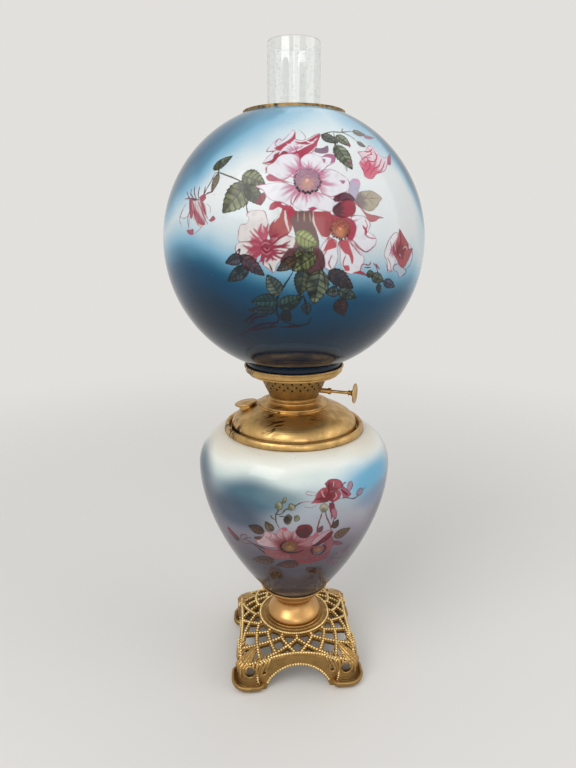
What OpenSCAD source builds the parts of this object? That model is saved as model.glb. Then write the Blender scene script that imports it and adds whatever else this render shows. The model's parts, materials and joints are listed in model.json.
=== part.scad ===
// Parlour oil lamp: a painted ball shade over a painted vase with a drop-in brass font,
// on a pierced cast base.
// All sizes are in millimetres. The lamp stands on Z = 0 and its axis is the Z axis.

/* [Base] */
// Side of the square casting, without its toes
base_side = 130; // [124:1:140]
// Radius of the casting's corners in plan
base_corner_r = 10; // [8:0.5:14]
// How far the middle of each side is set back
side_set_back = 2; // [1:0.5:5]
// Height of the face that carries the stem
base_h = 52; // [50:1:60]
// Height of the lattice's edge at the middle of a side
side_h = 38; // [34:0.5:42]
// Wall of the casting
base_wall = 3; // [2.5:0.1:4]
// Radius of the round seat at the top of the casting
seat_ring_r = 39; // [38:0.5:41]
// Strips that leave the round seat, counted all round
lattice_count = 16; // [12:4:20]
// Width of one lattice strip
strip_w = 5; // [3.6:0.1:5.6]
// Radial growth of the lattice for each turn round the axis
lattice_lean = 0.84; // [0.7:0.02:1]
// Solid border between the lattice and the wall
border_w = 1.6; // [1:0.1:4]
// Width of the large opening in each foot
foot_slot_w = 10.5; // [8:0.5:11]
// Width of the small opening in each foot
foot_slit_w = 4.6; // [3:0.2:5.6]
// Height of the arch between two feet
arch_h = 27; // [20:1:29]
// How far each toe flares out past the wall
toe_flare = 8; // [5:0.5:9]
// Height over which a toe flares
toe_h = 19; // [16:0.5:22]
// Length of a toe along the wall, past the corner
toe_run = 10; // [6:0.5:12]

/* [Stem and cup] */
// Radius of the bell at the foot of the stem
bell_r = 30.5; // [28:0.5:33]
// Radius of the stem's waist
waist_r = 21.5; // [18:0.5:24]
// Height of the stem
stem_h = 28; // [24:1:36]
// Wall of the spun brass pieces
spun_wall = 1.2; // [1:0.1:1.4]
// Outer radius of the threaded clamp tube
clamp_r = 8; // [7:0.5:9]
// Bore radius of the clamp tube, which also lets the draught in
clamp_bore_r = 6; // [5:0.5:6.5]
// Height of the cup that holds the vase
cup_h = 19; // [14:1:24]

/* [Vase] */
// Largest radius of the vase
vase_r = 102.3; // [98:0.5:110]
// Height of the vase
vase_h = 197; // [185:1:215]
// Height of the widest place below the vase's top
vase_shoulder_h = 36; // [30:1:42]
// Radius of the vase's foot
vase_foot_r = 27; // [26:0.5:30]
// Radius where the shoulder meets the crown
vase_top_r = 74; // [73:0.5:78]
// Glass wall of the vase
vase_wall = 4; // [3:0.5:5]

/* [Crown and font] */
// Inner radius of the crown's bead
crown_in_r = 68; // [66.5:0.5:69]
// Width of the crown's bead
bead_w = 6.5; // [5.5:0.5:8]
// Height of the crown's bead
bead_h = 7.5; // [6:0.5:9]
// Radius of the oil pot
pot_r = 59.5; // [50:0.5:60]
// Depth of the oil pot below the dome's rim
pot_depth = 88; // [70:1:95]
// Height of the dome above its rim
dome_h = 20.8; // [18:0.2:24]
// Radius of the flat on top of the dome
dome_flat_r = 37; // [36:0.5:39]
// Outer radius of the threaded neck
neck_r = 25; // [24:0.2:25.2]
// Height of the neck above the dome
neck_h = 7.5; // [6:0.5:8]

/* [Filler] */
// Distance of the filler from the axis
filler_at = 51; // [50:0.5:53]
// Direction of the filler, turned from +X
filler_az = 172; // [150:1:200]
// Lean of the filler away from the axis
filler_lean = 10; // [8:1:16]
// Outer radius of the filler neck
filler_r = 8; // [7:0.5:8.5]
// Radius of the filler cap
cap_r = 12; // [11:0.5:12.5]

/* [Burner] */
// Height of the stepped collar
collar_h = 9.8; // [9.6:0.1:12]
// Height of the bowl between collar and rim
bowl_h = 23.7; // [22.5:0.1:28]
// Radius of the bowl at its foot
bowl_foot_r = 25.4; // [25.2:0.1:26.4]
// Radius of the bowl at its rim
bowl_rim_r = 35.5; // [35:0.1:36.5]
// Rows of air holes in the bowl
air_rows = 3; // [1:1:4]
// Air holes in one row
air_count = 24; // [12:2:28]
// Radius of an air hole
air_r = 1.1; // [0.8:0.1:1.3]
// Depth of the ring that holds the shade
shade_ring_h = 9; // [7:0.5:12]
// Height of the step that the shade stands on, above the chimney's floor
shade_step = 2.6; // [2:0.1:3.5]
// Play between the shade's fitter and the ring
fitter_play = 0.5; // [0.3:0.1:1]
// Fingers that grip the chimney
finger_count = 12; // [8:2:16]
// Height of the chimney fingers
finger_h = 13; // [10:0.5:15]

/* [Wick] */
// Bore radius of the central draught tube
draught_r = 12; // [11:0.2:12.6]
// Thickness of the tubular wick
wick_t = 2; // [1.6:0.1:2.2]
// Height of the wick's lip above the chimney's floor
lip_h = 9.3; // [8:0.1:11]
// Play between the sliding tubes
tube_play = 0.3; // [0.2:0.05:0.4]
// Wall of the thin tubes
tube_wall = 0.8; // [0.6:0.1:0.9]
// Length of the wick
wick_len = 120; // [90:1:126]
// How far the lowered wick lies below its lip
wick_down = 8; // [7:0.5:12]
// How far the wick can be raised
wick_travel = 16; // [10:1:16]

/* [Wick raiser] */
// Direction of the knob, turned from +X
knob_az = -22.5; // [-60:0.5:60]
// Height of the shaft above the bowl's foot
shaft_up = 6.7; // [6:0.1:8]
// Radius of the shaft
shaft_r = 1.6; // [1.2:0.1:1.8]
// Length of the gland outside the bowl
gland_h = 11.5; // [8:0.5:14]
// Distance of the knob's face from the axis
knob_at = 65; // [58:1:72]
// Radius of the knob
knob_r = 10.4; // [9:0.1:13]
// Running play of the shaft
shaft_play = 0.06; // [0.03:0.01:0.1]
// Teeth on the pinion
pinion_teeth = 8; // [8:1:8]
// Pitch radius of the pinion
pinion_r = 4; // [3.8:0.1:4.1]

/* [Chimney and shade] */
// Radius of the chimney's foot
chimney_foot_r = 33; // [32:0.1:33.4]
// Radius of the chimney's bulge
chimney_bulge_r = 37; // [35:0.5:40]
// Radius of the chimney's straight top
chimney_top_r = 24.6; // [22:0.2:28]
// Height of the chimney
chimney_h = 309; // [280:1:330]
// Wall of the chimney glass
chimney_wall = 1.6; // [1.2:0.1:2]
// Radius of the ball shade
globe_r = 127; // [114:1:135]
// Radius of the shade's fitter
fitter_r = 49.2; // [48:0.1:50]
// Length of the fitter below the ball
fitter_h = 10.5; // [8:0.5:14]
// Radius of the shade's mouth
mouth_r = 46; // [42:0.5:50]
// Glass wall of the shade
globe_wall = 3; // [2.5:0.1:4]

/* [Hidden] */
$fn = 96;

eps = 0.01;             // overlap that lets a cut pass right through a face
slip = 0.3;             // gap between a removable piece and its seat
seat_gap = 0.4;         // bedding gap between glass and brass
half = base_side / 2;

// Heights, each built on the one below
stem_z = base_h;
cup_z = stem_z + stem_h;
vase_z = cup_z + 4;
vase_top = vase_z + vase_h;
ledge_t = 2;
dome_rim_h = 4;         // upright edge of the font's dome
rim_z = vase_top + ledge_t;
flat_z = rim_z + dome_rim_h + dome_h;
bowl_z = flat_z + collar_h;
floor_z = bowl_z + bowl_h + spun_wall;
lip_z = floor_z + lip_h;
globe_foot = floor_z + shade_step;
globe_z = globe_foot + fitter_h + sqrt(globe_r * globe_r - fitter_r * fitter_r);
mouth_z = globe_z + sqrt(globe_r * globe_r - mouth_r * mouth_r);
shaft_z = bowl_z + shaft_up;

// Radii that pass one inside the other
draught_out = draught_r + tube_wall;
wick_in = draught_out + tube_play;
wick_out = wick_in + wick_t;
sleeve_in = wick_out + 0.05;
sleeve_out = sleeve_in + 0.5;
wick_tube_in = sleeve_out + tube_play;
wick_tube_out = wick_tube_in + tube_wall;
rack_x = wick_tube_out + 0.5;
rack_w = 3;
ring_floor_r = fitter_r + fitter_play;
clamp_hole_r = clamp_r + slip;

// A cubic curve from a to d
function curve(a, b, c, d, n = 10) =
    [for (i = [0:n]) let (t = i / n, s = 1 - t)
        a * s * s * s + 3 * b * s * s * t + 3 * c * s * t * t + d * t * t * t];
// Part of a circle round c, from angle a0 to a1
function arc(c, r, a0, a1, n = 8) =
    [for (i = [0:n]) let (a = a0 + (a1 - a0) * i / n) [c[0] + r * cos(a), c[1] + r * sin(a)]];
function reversed(p) = [for (i = [len(p) - 1:-1:0]) p[i]];
function moved(p, by) = [for (q = p) q + by];

// ---- base ----

// Top surface of the lattice, from the round seat out past the corners
dome_line = concat(curve([seat_ring_r, base_h - 3.4], [seat_ring_r + 12, base_h - 7],
                         [half - 2, side_h + 2.5], [half + 6, side_h - 2.5], 4),
                   [[half * 1.45, side_h - 13]]);
boss_t = 4;

// Outline of the casting, drawn in from its edge: a square with each side set back in a shallow arc
module base_plan(inset = 0) {
    h = half - inset;
    r = max(base_corner_r - inset, 2);
    chord = half - base_corner_r - toe_run - toe_flare;
    sweep_r = (chord * chord + side_set_back * side_set_back) / (2 * side_set_back);
    difference() {
        union() {
            square([2 * h, 2 * (h - r)], center = true);
            square([2 * (h - r), 2 * h], center = true);
            for (x = [-1, 1], y = [-1, 1]) translate([x * (h - r), y * (h - r)]) circle(r);
        }
        for (turn = [0:90:270]) rotate([0, 0, turn])
            translate([0, half - side_set_back + sweep_r]) circle(sweep_r + inset, $fn = 360);
    }
}

module four_sides() {
    for (turn = [0:90:270]) rotate([0, 0, turn]) children();
}

// One opening of the lattice, which leans along the two spirals: a diamond, or a shield by the seat
module lattice_hole(row, az) {
    step = 180 / lattice_count;
    r = (seat_ring_r + 6) * exp(row * lattice_lean * step * PI / 180);
    reach = step - strip_w / sqrt(2) / r * 180 / PI;
    corners = row > 0
        ? [[reach, 0], [0, reach], [-reach, 0], [0, -reach]]
        : [[reach, 0], [0, reach], [-reach * 0.75, reach * 0.8],
           [-reach * 0.75, -reach * 0.8], [0, -reach]];
    polygon([for (c = corners) r * exp(c[0] * lattice_lean * PI / 180)
        * [cos(az + c[1]), sin(az + c[1])]]);
}

module lattice_plan() {
    step = 360 / lattice_count;
    intersection() {
        base_plan(base_wall + border_w);
        union() {
            for (row = [0:2], i = [0:lattice_count - 1])
                lattice_hole(row, (i + (row == 1 ? 0 : 0.5)) * step);
            for (turn = [45:90:315]) lattice_hole(3, turn);
        }
    }
}

// Upright slot with round ends, drawn on the wall
module slot(w, h) {
    square([w, h - w], center = true);
    for (y = [-1, 1]) translate([0, y * (h - w) / 2]) circle(w / 2, $fn = 32);
}

// Two openings on each side of the middle of a wall, with a raised edge round each
foot_openings = [[half - base_corner_r - 2.5, toe_h + 4.6, foot_slot_w, foot_slot_w + 2],
                 [half - base_corner_r - 17.3, toe_h + 5.6, foot_slit_w, foot_slit_w + 4.5]];

module foot_openings_at(grow, y0, depth) {
    for (s = foot_openings, side = [-1, 1]) translate([side * s[0], y0, s[1]]) rotate([90, 0, 0])
        linear_extrude(depth) slot(s[2] + grow, s[3] + grow);
}

// Section of a toe: it sweeps out of the wall into a hollow, and ends in a raised rounded lip
toe_line = concat([[-base_wall, 0], [1.5, 0]],
    curve([1.5, 0], [toe_flare * 0.55, 0.4],
          [toe_flare * 0.9, toe_h * 0.14], [toe_flare, toe_h * 0.33], 4),
    arc([toe_flare - 1.7, toe_h * 0.4], 1.9, -10, 140, 5),
    curve([toe_flare * 0.58, toe_h * 0.45], [toe_flare * 0.42, toe_h * 0.16],
          [toe_flare * 0.12, toe_h * 0.42], [0, toe_h], 6), [[-base_wall, toe_h]]);

module toe() {
    c = half - base_corner_r;
    translate([c, c]) rotate_extrude(angle = 90) translate([base_corner_r, 0]) polygon(toe_line);
    for (m = [0, 1]) mirror([m, -m, 0]) {
        translate([c, half, 0]) rotate([90, 0, -90])
            linear_extrude(toe_run) mirror([1, 0]) polygon(toe_line);
        translate([c - toe_run, half - eps, 0]) rotate([0, 0, 90]) rotate_extrude(angle = 90)
            intersection() {
                polygon(toe_line);
                square([toe_flare + 1, toe_h]);
            }
    }
}

module base_casting() color("#b58a3c") {
    arch_half = half - base_corner_r - toe_run - toe_flare - 2;
    arch_r = (arch_half * arch_half + arch_h * arch_h) / (2 * arch_h);
    difference() {
        union() {
            // Top skin, which carries the lattice
            intersection() {
                rotate_extrude() polygon(concat(dome_line,
                    reversed(moved(dome_line, [0, -base_wall]))));
                linear_extrude(base_h) base_plan();
            }
            // Wall, cut to the underside of the skin
            intersection() {
                linear_extrude(base_h) difference() {
                    base_plan();
                    base_plan(base_wall);
                }
                rotate_extrude() polygon(concat([[0, 0], [0, base_h - 5]],
                    moved(dome_line, [0, -1]), [[half * 1.45, 0]]));
            }
            four_sides() foot_openings_at(2.6, -half + 1.6, 2.5);
            four_sides() toe();
        }
        linear_extrude(base_h) lattice_plan();
        four_sides() foot_openings_at(0, -half + base_wall + 1, base_wall + 4);
        four_sides() translate([0, -half + base_wall + 4, arch_h - arch_r]) rotate([90, 0, 0])
            cylinder(r = arch_r, h = base_wall + 6);
    }
    // Round seat with its beaded moulding, and the web that the clamp pulls on
    rotate_extrude() polygon(concat(
        [[clamp_hole_r, base_h - boss_t], [seat_ring_r - 6, base_h - boss_t],
         [seat_ring_r - 3, base_h - 6.8], [seat_ring_r + 1.2, base_h - 6.8],
         [seat_ring_r + 1.2, base_h - 4.4]],
        arc([seat_ring_r - 0.4, base_h - 3.4], 1.6, -20, 120, 5),
        arc([seat_ring_r - 4, base_h - 1.8], 1.6, 0, 90, 4),
        [[bell_r + 1.6, base_h - 0.8], [bell_r + 1, base_h], [clamp_hole_r, base_h]]));
}

// ---- stem, cup and clamp ----

stem_line = concat([[bell_r - 1, 0]], curve([bell_r, 1.2], [bell_r + 0.6, 8], [waist_r + 1, 11],
                                            [waist_r, stem_h * 0.66], 12),
                   curve([waist_r, stem_h * 0.66], [waist_r, stem_h * 0.8],
                         [vase_foot_r - 3, stem_h - 3], [vase_foot_r - 0.5, stem_h - 1], 6),
                   [[vase_foot_r - 0.5, stem_h]]);

module base_stem() color("#c08a45") translate([0, 0, stem_z]) rotate_extrude() {
    polygon(concat(stem_line, [[clamp_hole_r, stem_h], [clamp_hole_r, stem_h - spun_wall]],
                   [[waist_r - spun_wall, stem_h - spun_wall]],
                   [[waist_r - spun_wall, stem_h * 0.55]],
                   curve([waist_r - spun_wall, stem_h * 0.5], [waist_r, 10],
                         [bell_r - 1 - spun_wall, 8], [bell_r - 1 - spun_wall, 1.2], 8),
                   [[bell_r - 4, 1.2], [bell_r - 4, 0]]));
}

// Outer line of the vase, from its foot to the crown
vase_belly_z = vase_h - vase_shoulder_h;
vase_low = curve([vase_foot_r, 0], [vase_foot_r + 23, vase_belly_z * 0.13],
                 [vase_r, vase_belly_z * 0.6], [vase_r, vase_belly_z], 16);
vase_high = curve([vase_r, vase_belly_z], [vase_r, vase_h - vase_shoulder_h * 0.47],
                  [vase_top_r + 14, vase_h], [vase_top_r, vase_h], 9);

module vase_cup() color("#c08a45") translate([0, 0, cup_z]) {
    lift = vase_z - cup_z;
    held = [for (p = vase_low) if (p[1] + lift <= cup_h) p + [seat_gap, lift]];
    rotate_extrude() polygon(concat(
        [[clamp_hole_r, 0], [vase_foot_r - 0.5, 0], [vase_foot_r + 1.4, 1.4]],
        moved(held, [spun_wall * 1.4, 0]),
        reversed(held),
        [[vase_foot_r + seat_gap, spun_wall + 0.8], [vase_foot_r - 1, spun_wall],
         [clamp_hole_r, spun_wall]]));
}

clamp_low = base_h - boss_t - 12;
clamp_top = vase_z + vase_wall + 13;

module clamp_tube() color("#a98548") translate([0, 0, clamp_low]) difference() {
    cylinder(r = clamp_r, h = clamp_top - clamp_low);
    translate([0, 0, -1]) cylinder(r = clamp_bore_r, h = clamp_top - clamp_low + 2);
}

module clamp_washer() color("#9a9a96") translate([0, 0, base_h - boss_t - 1.6]) difference() {
    cylinder(r = clamp_r + 7, h = 1.6);
    translate([0, 0, -1]) cylinder(r = clamp_hole_r, h = 4);
}

module hex_nut(r, across, h) difference() {
    cylinder(r = across / sqrt(3), h = h, $fn = 6);
    translate([0, 0, -1]) cylinder(r = r, h = h + 2);
}

module clamp_nut() color("#9a9a96") translate([0, 0, base_h - boss_t - 1.6 - 6])
    hex_nut(clamp_r, clamp_r * 3, 6);

gasket_t = 2;
module vase_gasket() color("#a5805a") translate([0, 0, vase_z + vase_wall]) difference() {
    cylinder(r = vase_foot_r - vase_wall - 3, h = gasket_t);
    translate([0, 0, -1]) cylinder(r = clamp_hole_r, h = gasket_t + 2);
}

module vase_nut() color("#9a9a96") translate([0, 0, vase_z + vase_wall + gasket_t])
    hex_nut(clamp_r, clamp_r * 3, 6);

// ---- vase and crown ----

vase_mouth_r = crown_in_r - 1;

module vase() color("#cfd8d8") translate([0, 0, vase_z]) {
    inner_low = curve([vase_foot_r - vase_wall, vase_wall],
                      [vase_foot_r + 23 - vase_wall, vase_belly_z * 0.13 + vase_wall],
                      [vase_r - vase_wall, vase_belly_z * 0.6],
                      [vase_r - vase_wall, vase_belly_z], 16);
    inner_high = curve([vase_r - vase_wall, vase_belly_z],
                       [vase_r - vase_wall, vase_h - vase_shoulder_h * 0.5],
                       [vase_top_r + 12, vase_h - vase_wall],
                       [vase_mouth_r, vase_h - vase_wall], 9);
    rotate_extrude() polygon(concat(
        [[clamp_hole_r, 0]], vase_low, vase_high, [[vase_mouth_r, vase_h]],
        reversed(inner_high), reversed(inner_low), [[clamp_hole_r, vase_wall]]));
}

skirt_h = 12;
module crown_ring() color("#b8863b") translate([0, 0, vase_top]) {
    mid = crown_in_r + bead_w / 2;
    rotate_extrude() polygon(concat(
        [[vase_mouth_r - seat_gap, 0], [crown_in_r + bead_w - 1, 0]],
        [for (a = [-15:15:180]) [mid + bead_w / 2 * cos(a), 1.2 + (bead_h - 1.2) * max(0, sin(a))]],
        [[crown_in_r, ledge_t], [pot_r + 1, ledge_t], [pot_r + 1, 0],
         [vase_mouth_r - seat_gap - spun_wall, -spun_wall],
         [vase_mouth_r - seat_gap - spun_wall, -skirt_h], [vase_mouth_r - seat_gap, -skirt_h]]));
}

// ---- font ----

dome_rim_r = crown_in_r - 1;
dome_top_line = concat([[dome_rim_r, 0], [dome_rim_r, dome_rim_h - 1]],
    curve([dome_rim_r - 0.3, dome_rim_h], [dome_rim_r - 0.5, dome_rim_h + dome_h * 0.42],
          [dome_rim_r - 14, dome_rim_h + dome_h * 0.8], [dome_flat_r + 0.6, dome_rim_h + dome_h - 0.7], 14),
    [[dome_flat_r, dome_rim_h + dome_h], [neck_r, dome_rim_h + dome_h]]);

// Turns about the filler's own axis, which leans away from the lamp's axis
function dome_z(r) = lookup(r, [for (p = reversed(dome_top_line)) [p[0], p[1]]]);
module at_filler(up = 0) {
    rotate([0, 0, filler_az]) translate([filler_at, 0, rim_z + dome_z(filler_at)])
        rotate([0, filler_lean, 0]) translate([0, 0, up]) children();
}
filler_sink = 6;
filler_h = 2.8;

module font_dome() color("#c0913f") difference() {
    translate([0, 0, rim_z]) rotate_extrude() polygon(concat(dome_top_line,
        [[neck_r, dome_rim_h + dome_h - spun_wall],
         [dome_flat_r - 1, dome_rim_h + dome_h - spun_wall]],
        reversed(curve([dome_rim_r - 1.5, dome_rim_h], [dome_rim_r - 2.2, dome_rim_h + dome_h * 0.4],
                       [dome_rim_r - 15.5, dome_rim_h + dome_h * 0.76],
                       [dome_flat_r, dome_rim_h + dome_h - 2], 12)),
        [[dome_rim_r - 1.5, spun_wall + 1], [dome_rim_r - 4, spun_wall], [dome_rim_r - 4, 0]]));
    at_filler(-filler_sink - 1) cylinder(r = filler_r, h = filler_sink + 8);
}

module font_pot() color("#a98548") translate([0, 0, rim_z]) {
    round_r = 18;
    rotate_extrude() polygon(concat(
        [[dome_rim_r - 4.2, spun_wall], [pot_r, spun_wall], [pot_r, 0]],
        arc([pot_r - round_r, -pot_depth + round_r], round_r, 0, -90),
        [[draught_out, -pot_depth], [draught_out, -pot_depth + spun_wall]],
        arc([pot_r - round_r, -pot_depth + round_r], round_r - spun_wall, -90, 0),
        [[pot_r - spun_wall, 0], [pot_r - spun_wall, spun_wall + 0.8],
         [dome_rim_r - 4.2, spun_wall + 0.8]]));
}

module font_neck() color("#a98548") translate([0, 0, flat_z - 6]) difference() {
    cylinder(r = neck_r, h = 6 + neck_h);
    translate([0, 0, -1]) cylinder(r = neck_r - 2, h = 8 + neck_h);
}

draught_low = rim_z - pot_depth - 4;
module draught_tube() color("#a98548") translate([0, 0, draught_low]) difference() {
    cylinder(r = draught_out, h = lip_z - draught_low);
    translate([0, 0, -1]) cylinder(r = draught_r, h = lip_z - draught_low + 2);
}

module filler_neck() color("#b8863b") at_filler(-filler_sink) difference() {
    union() {
        cylinder(r = filler_r, h = filler_sink + filler_h);
        translate([0, 0, filler_sink + filler_h - 0.9]) cylinder(r = filler_r + 0.8, h = 0.8);
    }
    translate([0, 0, -1]) cylinder(r = filler_r - 1.4, h = filler_sink + filler_h + 2);
}

washer_t = 1;
module filler_washer() color("#8a6d4b") at_filler(filler_h) difference() {
    cylinder(r = filler_r + 0.8, h = washer_t);
    translate([0, 0, -1]) cylinder(r = filler_r - 1.4, h = washer_t + 2);
}

cap_skirt = 1.5;
module filler_cap() color("#b8863b") at_filler(filler_h + washer_t)
    rotate_extrude() polygon(concat(
        [[0, 0], [filler_r + 0.8 + slip, 0], [filler_r + 0.8 + slip, -cap_skirt],
         [filler_r + 2.2, -cap_skirt], [filler_r + 2.2, -0.6], [cap_r - 0.6, -0.6]],
        arc([cap_r - 0.9, 0.5], 1.1, -80, 90, 6),
        curve([cap_r - 1.4, 1.6], [cap_r - 4, 1.3], [4, 2.6], [0, 2.6], 6)));

// ---- burner ----

// Three steps, each ending in a bead
function step_bead(r, z, size) = arc([r - size, z], size, -30, 100, 4);
collar_line = concat([[dome_flat_r, 0]], step_bead(dome_flat_r + 0.5, collar_h * 0.16, 1.1),
    curve([dome_flat_r - 2.6, collar_h * 0.3], [dome_flat_r - 4.6, collar_h * 0.36],
          [bowl_foot_r + 4, collar_h * 0.38], [bowl_foot_r + 3.6, collar_h * 0.48], 4),
    step_bead(bowl_foot_r + 4.2, collar_h * 0.6, 0.9),
    [[bowl_foot_r + 2.4, collar_h * 0.72], [bowl_foot_r + 1.2, collar_h * 0.8]],
    step_bead(bowl_foot_r + 1.6, collar_h - 1, 0.7),
    [[bowl_foot_r, collar_h - 0.3], [bowl_foot_r, collar_h]]);

module burner_collar() color("#c0913f") translate([0, 0, flat_z]) rotate_extrude() polygon(concat(
    collar_line,
    [[neck_r - 2.6, collar_h], [neck_r - 2.6, collar_h - spun_wall],
     [neck_r + slip, collar_h - spun_wall], [neck_r + slip, 0]]));

// Window in the bowl's floor that the rack passes through
module rack_window(h) {
    rotate([0, 0, knob_az]) translate([wick_tube_out - 3, lug_y - 2.6, 0])
        cube([rack_w + 5, 6.4, h]);
}

bowl_line = curve([bowl_foot_r, 0], [bowl_foot_r + 3.4, bowl_h * 0.25],
                  [bowl_rim_r - 2.6, bowl_h * 0.55], [bowl_rim_r, bowl_h], 6);
// Radius of the bowl where the shaft passes through it
bowl_r_at_shaft = lookup(shaft_up, [for (p = bowl_line) [p[1], p[0]]]);

module burner_bowl() color("#a87a3a") translate([0, 0, bowl_z]) difference() {
    rotate_extrude() polygon(concat([[wick_tube_out + 0.1, 0]], bowl_line,
        [[bowl_rim_r - 1.8, bowl_h], [bowl_rim_r - 1.8, bowl_h - 1]],
        [for (p = reversed(bowl_line)) if (p[1] > spun_wall && p[1] < bowl_h - 1)
            p - [spun_wall, 0]],
        [[bowl_foot_r - spun_wall + 0.2, spun_wall], [wick_tube_out + 0.1, spun_wall]]));
    translate([0, 0, -1]) rack_window(spun_wall + 2);
    rotate([0, 0, knob_az]) translate([bowl_r_at_shaft - 5, 0, shaft_up]) rotate([0, 90, 0])
        cylinder(r = gland_r + 0.02, h = 10);
    for (row = [0:air_rows - 1], i = [0:air_count - 1])
        let (up = bowl_h - 4.4 - row * 3.6, turn = (i + 0.5 * (row % 2)) * 360 / air_count)
            rotate([0, 0, knob_az + turn]) translate([bowl_foot_r - 2, 0, up])
                rotate([0, 90, 0]) cylinder(r = air_r, h = 14);
}

module shade_ring() color("#c0913f") translate([0, 0, floor_z - spun_wall]) {
    wall_r = ring_floor_r;
    seat = shade_step + spun_wall;
    inside = bowl_rim_r - 0.9;
    rotate_extrude() polygon(concat(
        [[inside, 0], [wall_r - 4.6, 0]],
        arc([wall_r - 3.6, 1.4], 1.4, -80, 20, 4),
        [[wall_r - 0.4, seat - 1]],
        curve([wall_r + 0.9, seat], [wall_r + 1, seat + 1], [wall_r + 1, shade_ring_h - 2.4],
              [wall_r + 1.6, shade_ring_h - 1.2], 3),
        arc([wall_r + 1.2, shade_ring_h], 1.2, -45, 150, 6),
        [[wall_r, shade_ring_h - 1.6], [wall_r, seat], [wall_r - 4, seat],
         [wall_r - 4.8, spun_wall], [inside, spun_wall]]));
}

module chimney_gallery() color("#b8863b") translate([0, 0, floor_z - spun_wall]) {
    grip_r = chimney_foot_r + slip;
    difference() {
        rotate_extrude() polygon([
            [wick_tube_out + 0.2, 0], [bowl_rim_r - 1.2, 0], [bowl_rim_r - 1.2, spun_wall],
            [grip_r + 0.8, 3], [grip_r + 0.8, finger_h - 3], [grip_r + 1.8, finger_h],
            [grip_r + 1, finger_h], [grip_r, finger_h - 3], [grip_r, spun_wall],
            [wick_tube_out + 0.2, spun_wall]]);
        for (i = [0:finger_count - 1]) rotate([0, 0, (i + 0.5) * 360 / finger_count])
            translate([grip_r - 2, -1.5, 4]) cube([8, 3, finger_h]);
        for (i = [0:17]) rotate([0, 0, i * 20]) translate([26, 0, -1]) cylinder(r = 2, h = 4);
        translate([0, 0, -1]) rack_window(spun_wall + 2);
    }
}

rack_pitch = 2 * PI * pinion_r / pinion_teeth;
rack_low = -wick_travel - 4;
rack_high = 4;
lug_y = pinion_r + 0.8;
wick_tube_low = rim_z + dome_h - 10;

module wick_tube() color("#a98548") difference() {
    translate([0, 0, wick_tube_low]) cylinder(r = wick_tube_out, h = lip_z - wick_tube_low);
    translate([0, 0, wick_tube_low - 1]) cylinder(r = wick_tube_in, h = lip_z - wick_tube_low + 2);
    rotate([0, 0, knob_az]) translate([wick_tube_in - 4, lug_y - 0.6, wick_tube_low - 1])
        cube([6, 3.4, shaft_z - wick_tube_low + 4]);
}

gland_r = 2.6;
module shaft_gland() color("#b8863b") at_shaft(bowl_r_at_shaft - 3) difference() {
    union() {
        cylinder(r = gland_r, h = gland_h + 3);
        translate([0, 0, gland_h]) cylinder(r = gland_r + 0.7, h = 3);
    }
    translate([0, 0, -1]) cylinder(r = shaft_r + shaft_play, h = gland_h + 5);
}

// ---- wick raiser, turning about the shaft ----

module at_shaft(out) {
    rotate([0, 0, knob_az]) translate([out, 0, shaft_z]) rotate([0, 90, 0]) children();
}

// Length of the knob's hub, which opens out into its disc
hub_l = 6.2;
module knob_shaft() color("#b8863b") at_shaft(rack_x + rack_w)
    cylinder(r = shaft_r, h = knob_at - hub_l - rack_x - rack_w);

module wick_knob() color("#c0913f") at_shaft(knob_at - hub_l) rotate_extrude() polygon(concat(
    [[0, 0], [2.3, 0], [2.8, 0.5], [2.8, 1.3], [2.2, 1.8]],
    curve([2.2, 1.8], [2.6, hub_l - 1.6], [4.2, hub_l - 0.6], [knob_r - 1, hub_l], 6),
    arc([knob_r - 0.8, hub_l + 0.8], 0.8, -80, 90, 5),
    curve([knob_r - 1.5, hub_l + 1.4], [knob_r - 4, hub_l + 0.9],
          [3, hub_l + 1.2], [0, hub_l + 2], 5)));

module wick_pinion() color("#b8863b") at_shaft(rack_x) linear_extrude(rack_w)
    polygon([for (i = [0:pinion_teeth - 1])
        let (mid = (i + 0.5) * 360 / pinion_teeth)
            for (p = [[2.9, -9.5], [pinion_r + 0.75, -4], [pinion_r + 0.75, 4], [2.9, 9.5]])
                p[0] * [cos(mid + p[1]), sin(mid + p[1])]]);

// Sleeve round the wick, with the toothed rack on a lug through the slot in the wick tube
module wick_carrier() color("#b8863b") {
    sleeve_low = shaft_z - wick_travel - 5;
    lug_in = sqrt(pow(sleeve_in + 0.1, 2) - pow(lug_y, 2));
    translate([0, 0, sleeve_low]) difference() {
        cylinder(r = sleeve_out, h = 12);
        translate([0, 0, -1]) cylinder(r = sleeve_in, h = 14);
    }
    rotate([0, 0, knob_az]) {
        translate([lug_in, lug_y, shaft_z - wick_travel - 2]) cube([rack_x + 1 - lug_in, 2.2, 4]);
        translate([rack_x, 0, shaft_z]) rotate([90, 0, 90]) linear_extrude(rack_w) polygon(concat(
            [[pinion_r + 3, rack_low], [pinion_r + 3, rack_high], [pinion_r + 1, rack_high]],
            [for (i = [1:-1:-ceil(wick_travel / rack_pitch) - 1]) let (z = i * rack_pitch)
                if (z - 1.1 > rack_low) for (p = [[pinion_r + 1, 1.05], [pinion_r - 0.7, 0.55],
                          [pinion_r - 0.7, -0.55], [pinion_r + 1, -1.05]]) [p[0], z + p[1]]],
            [[pinion_r + 1, rack_low]]));
    }
}

module wick() color("#e6dcc2") translate([0, 0, lip_z - wick_down - wick_len]) difference() {
    cylinder(r = wick_out, h = wick_len);
    translate([0, 0, -1]) cylinder(r = wick_in, h = wick_len + 2);
}

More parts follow.
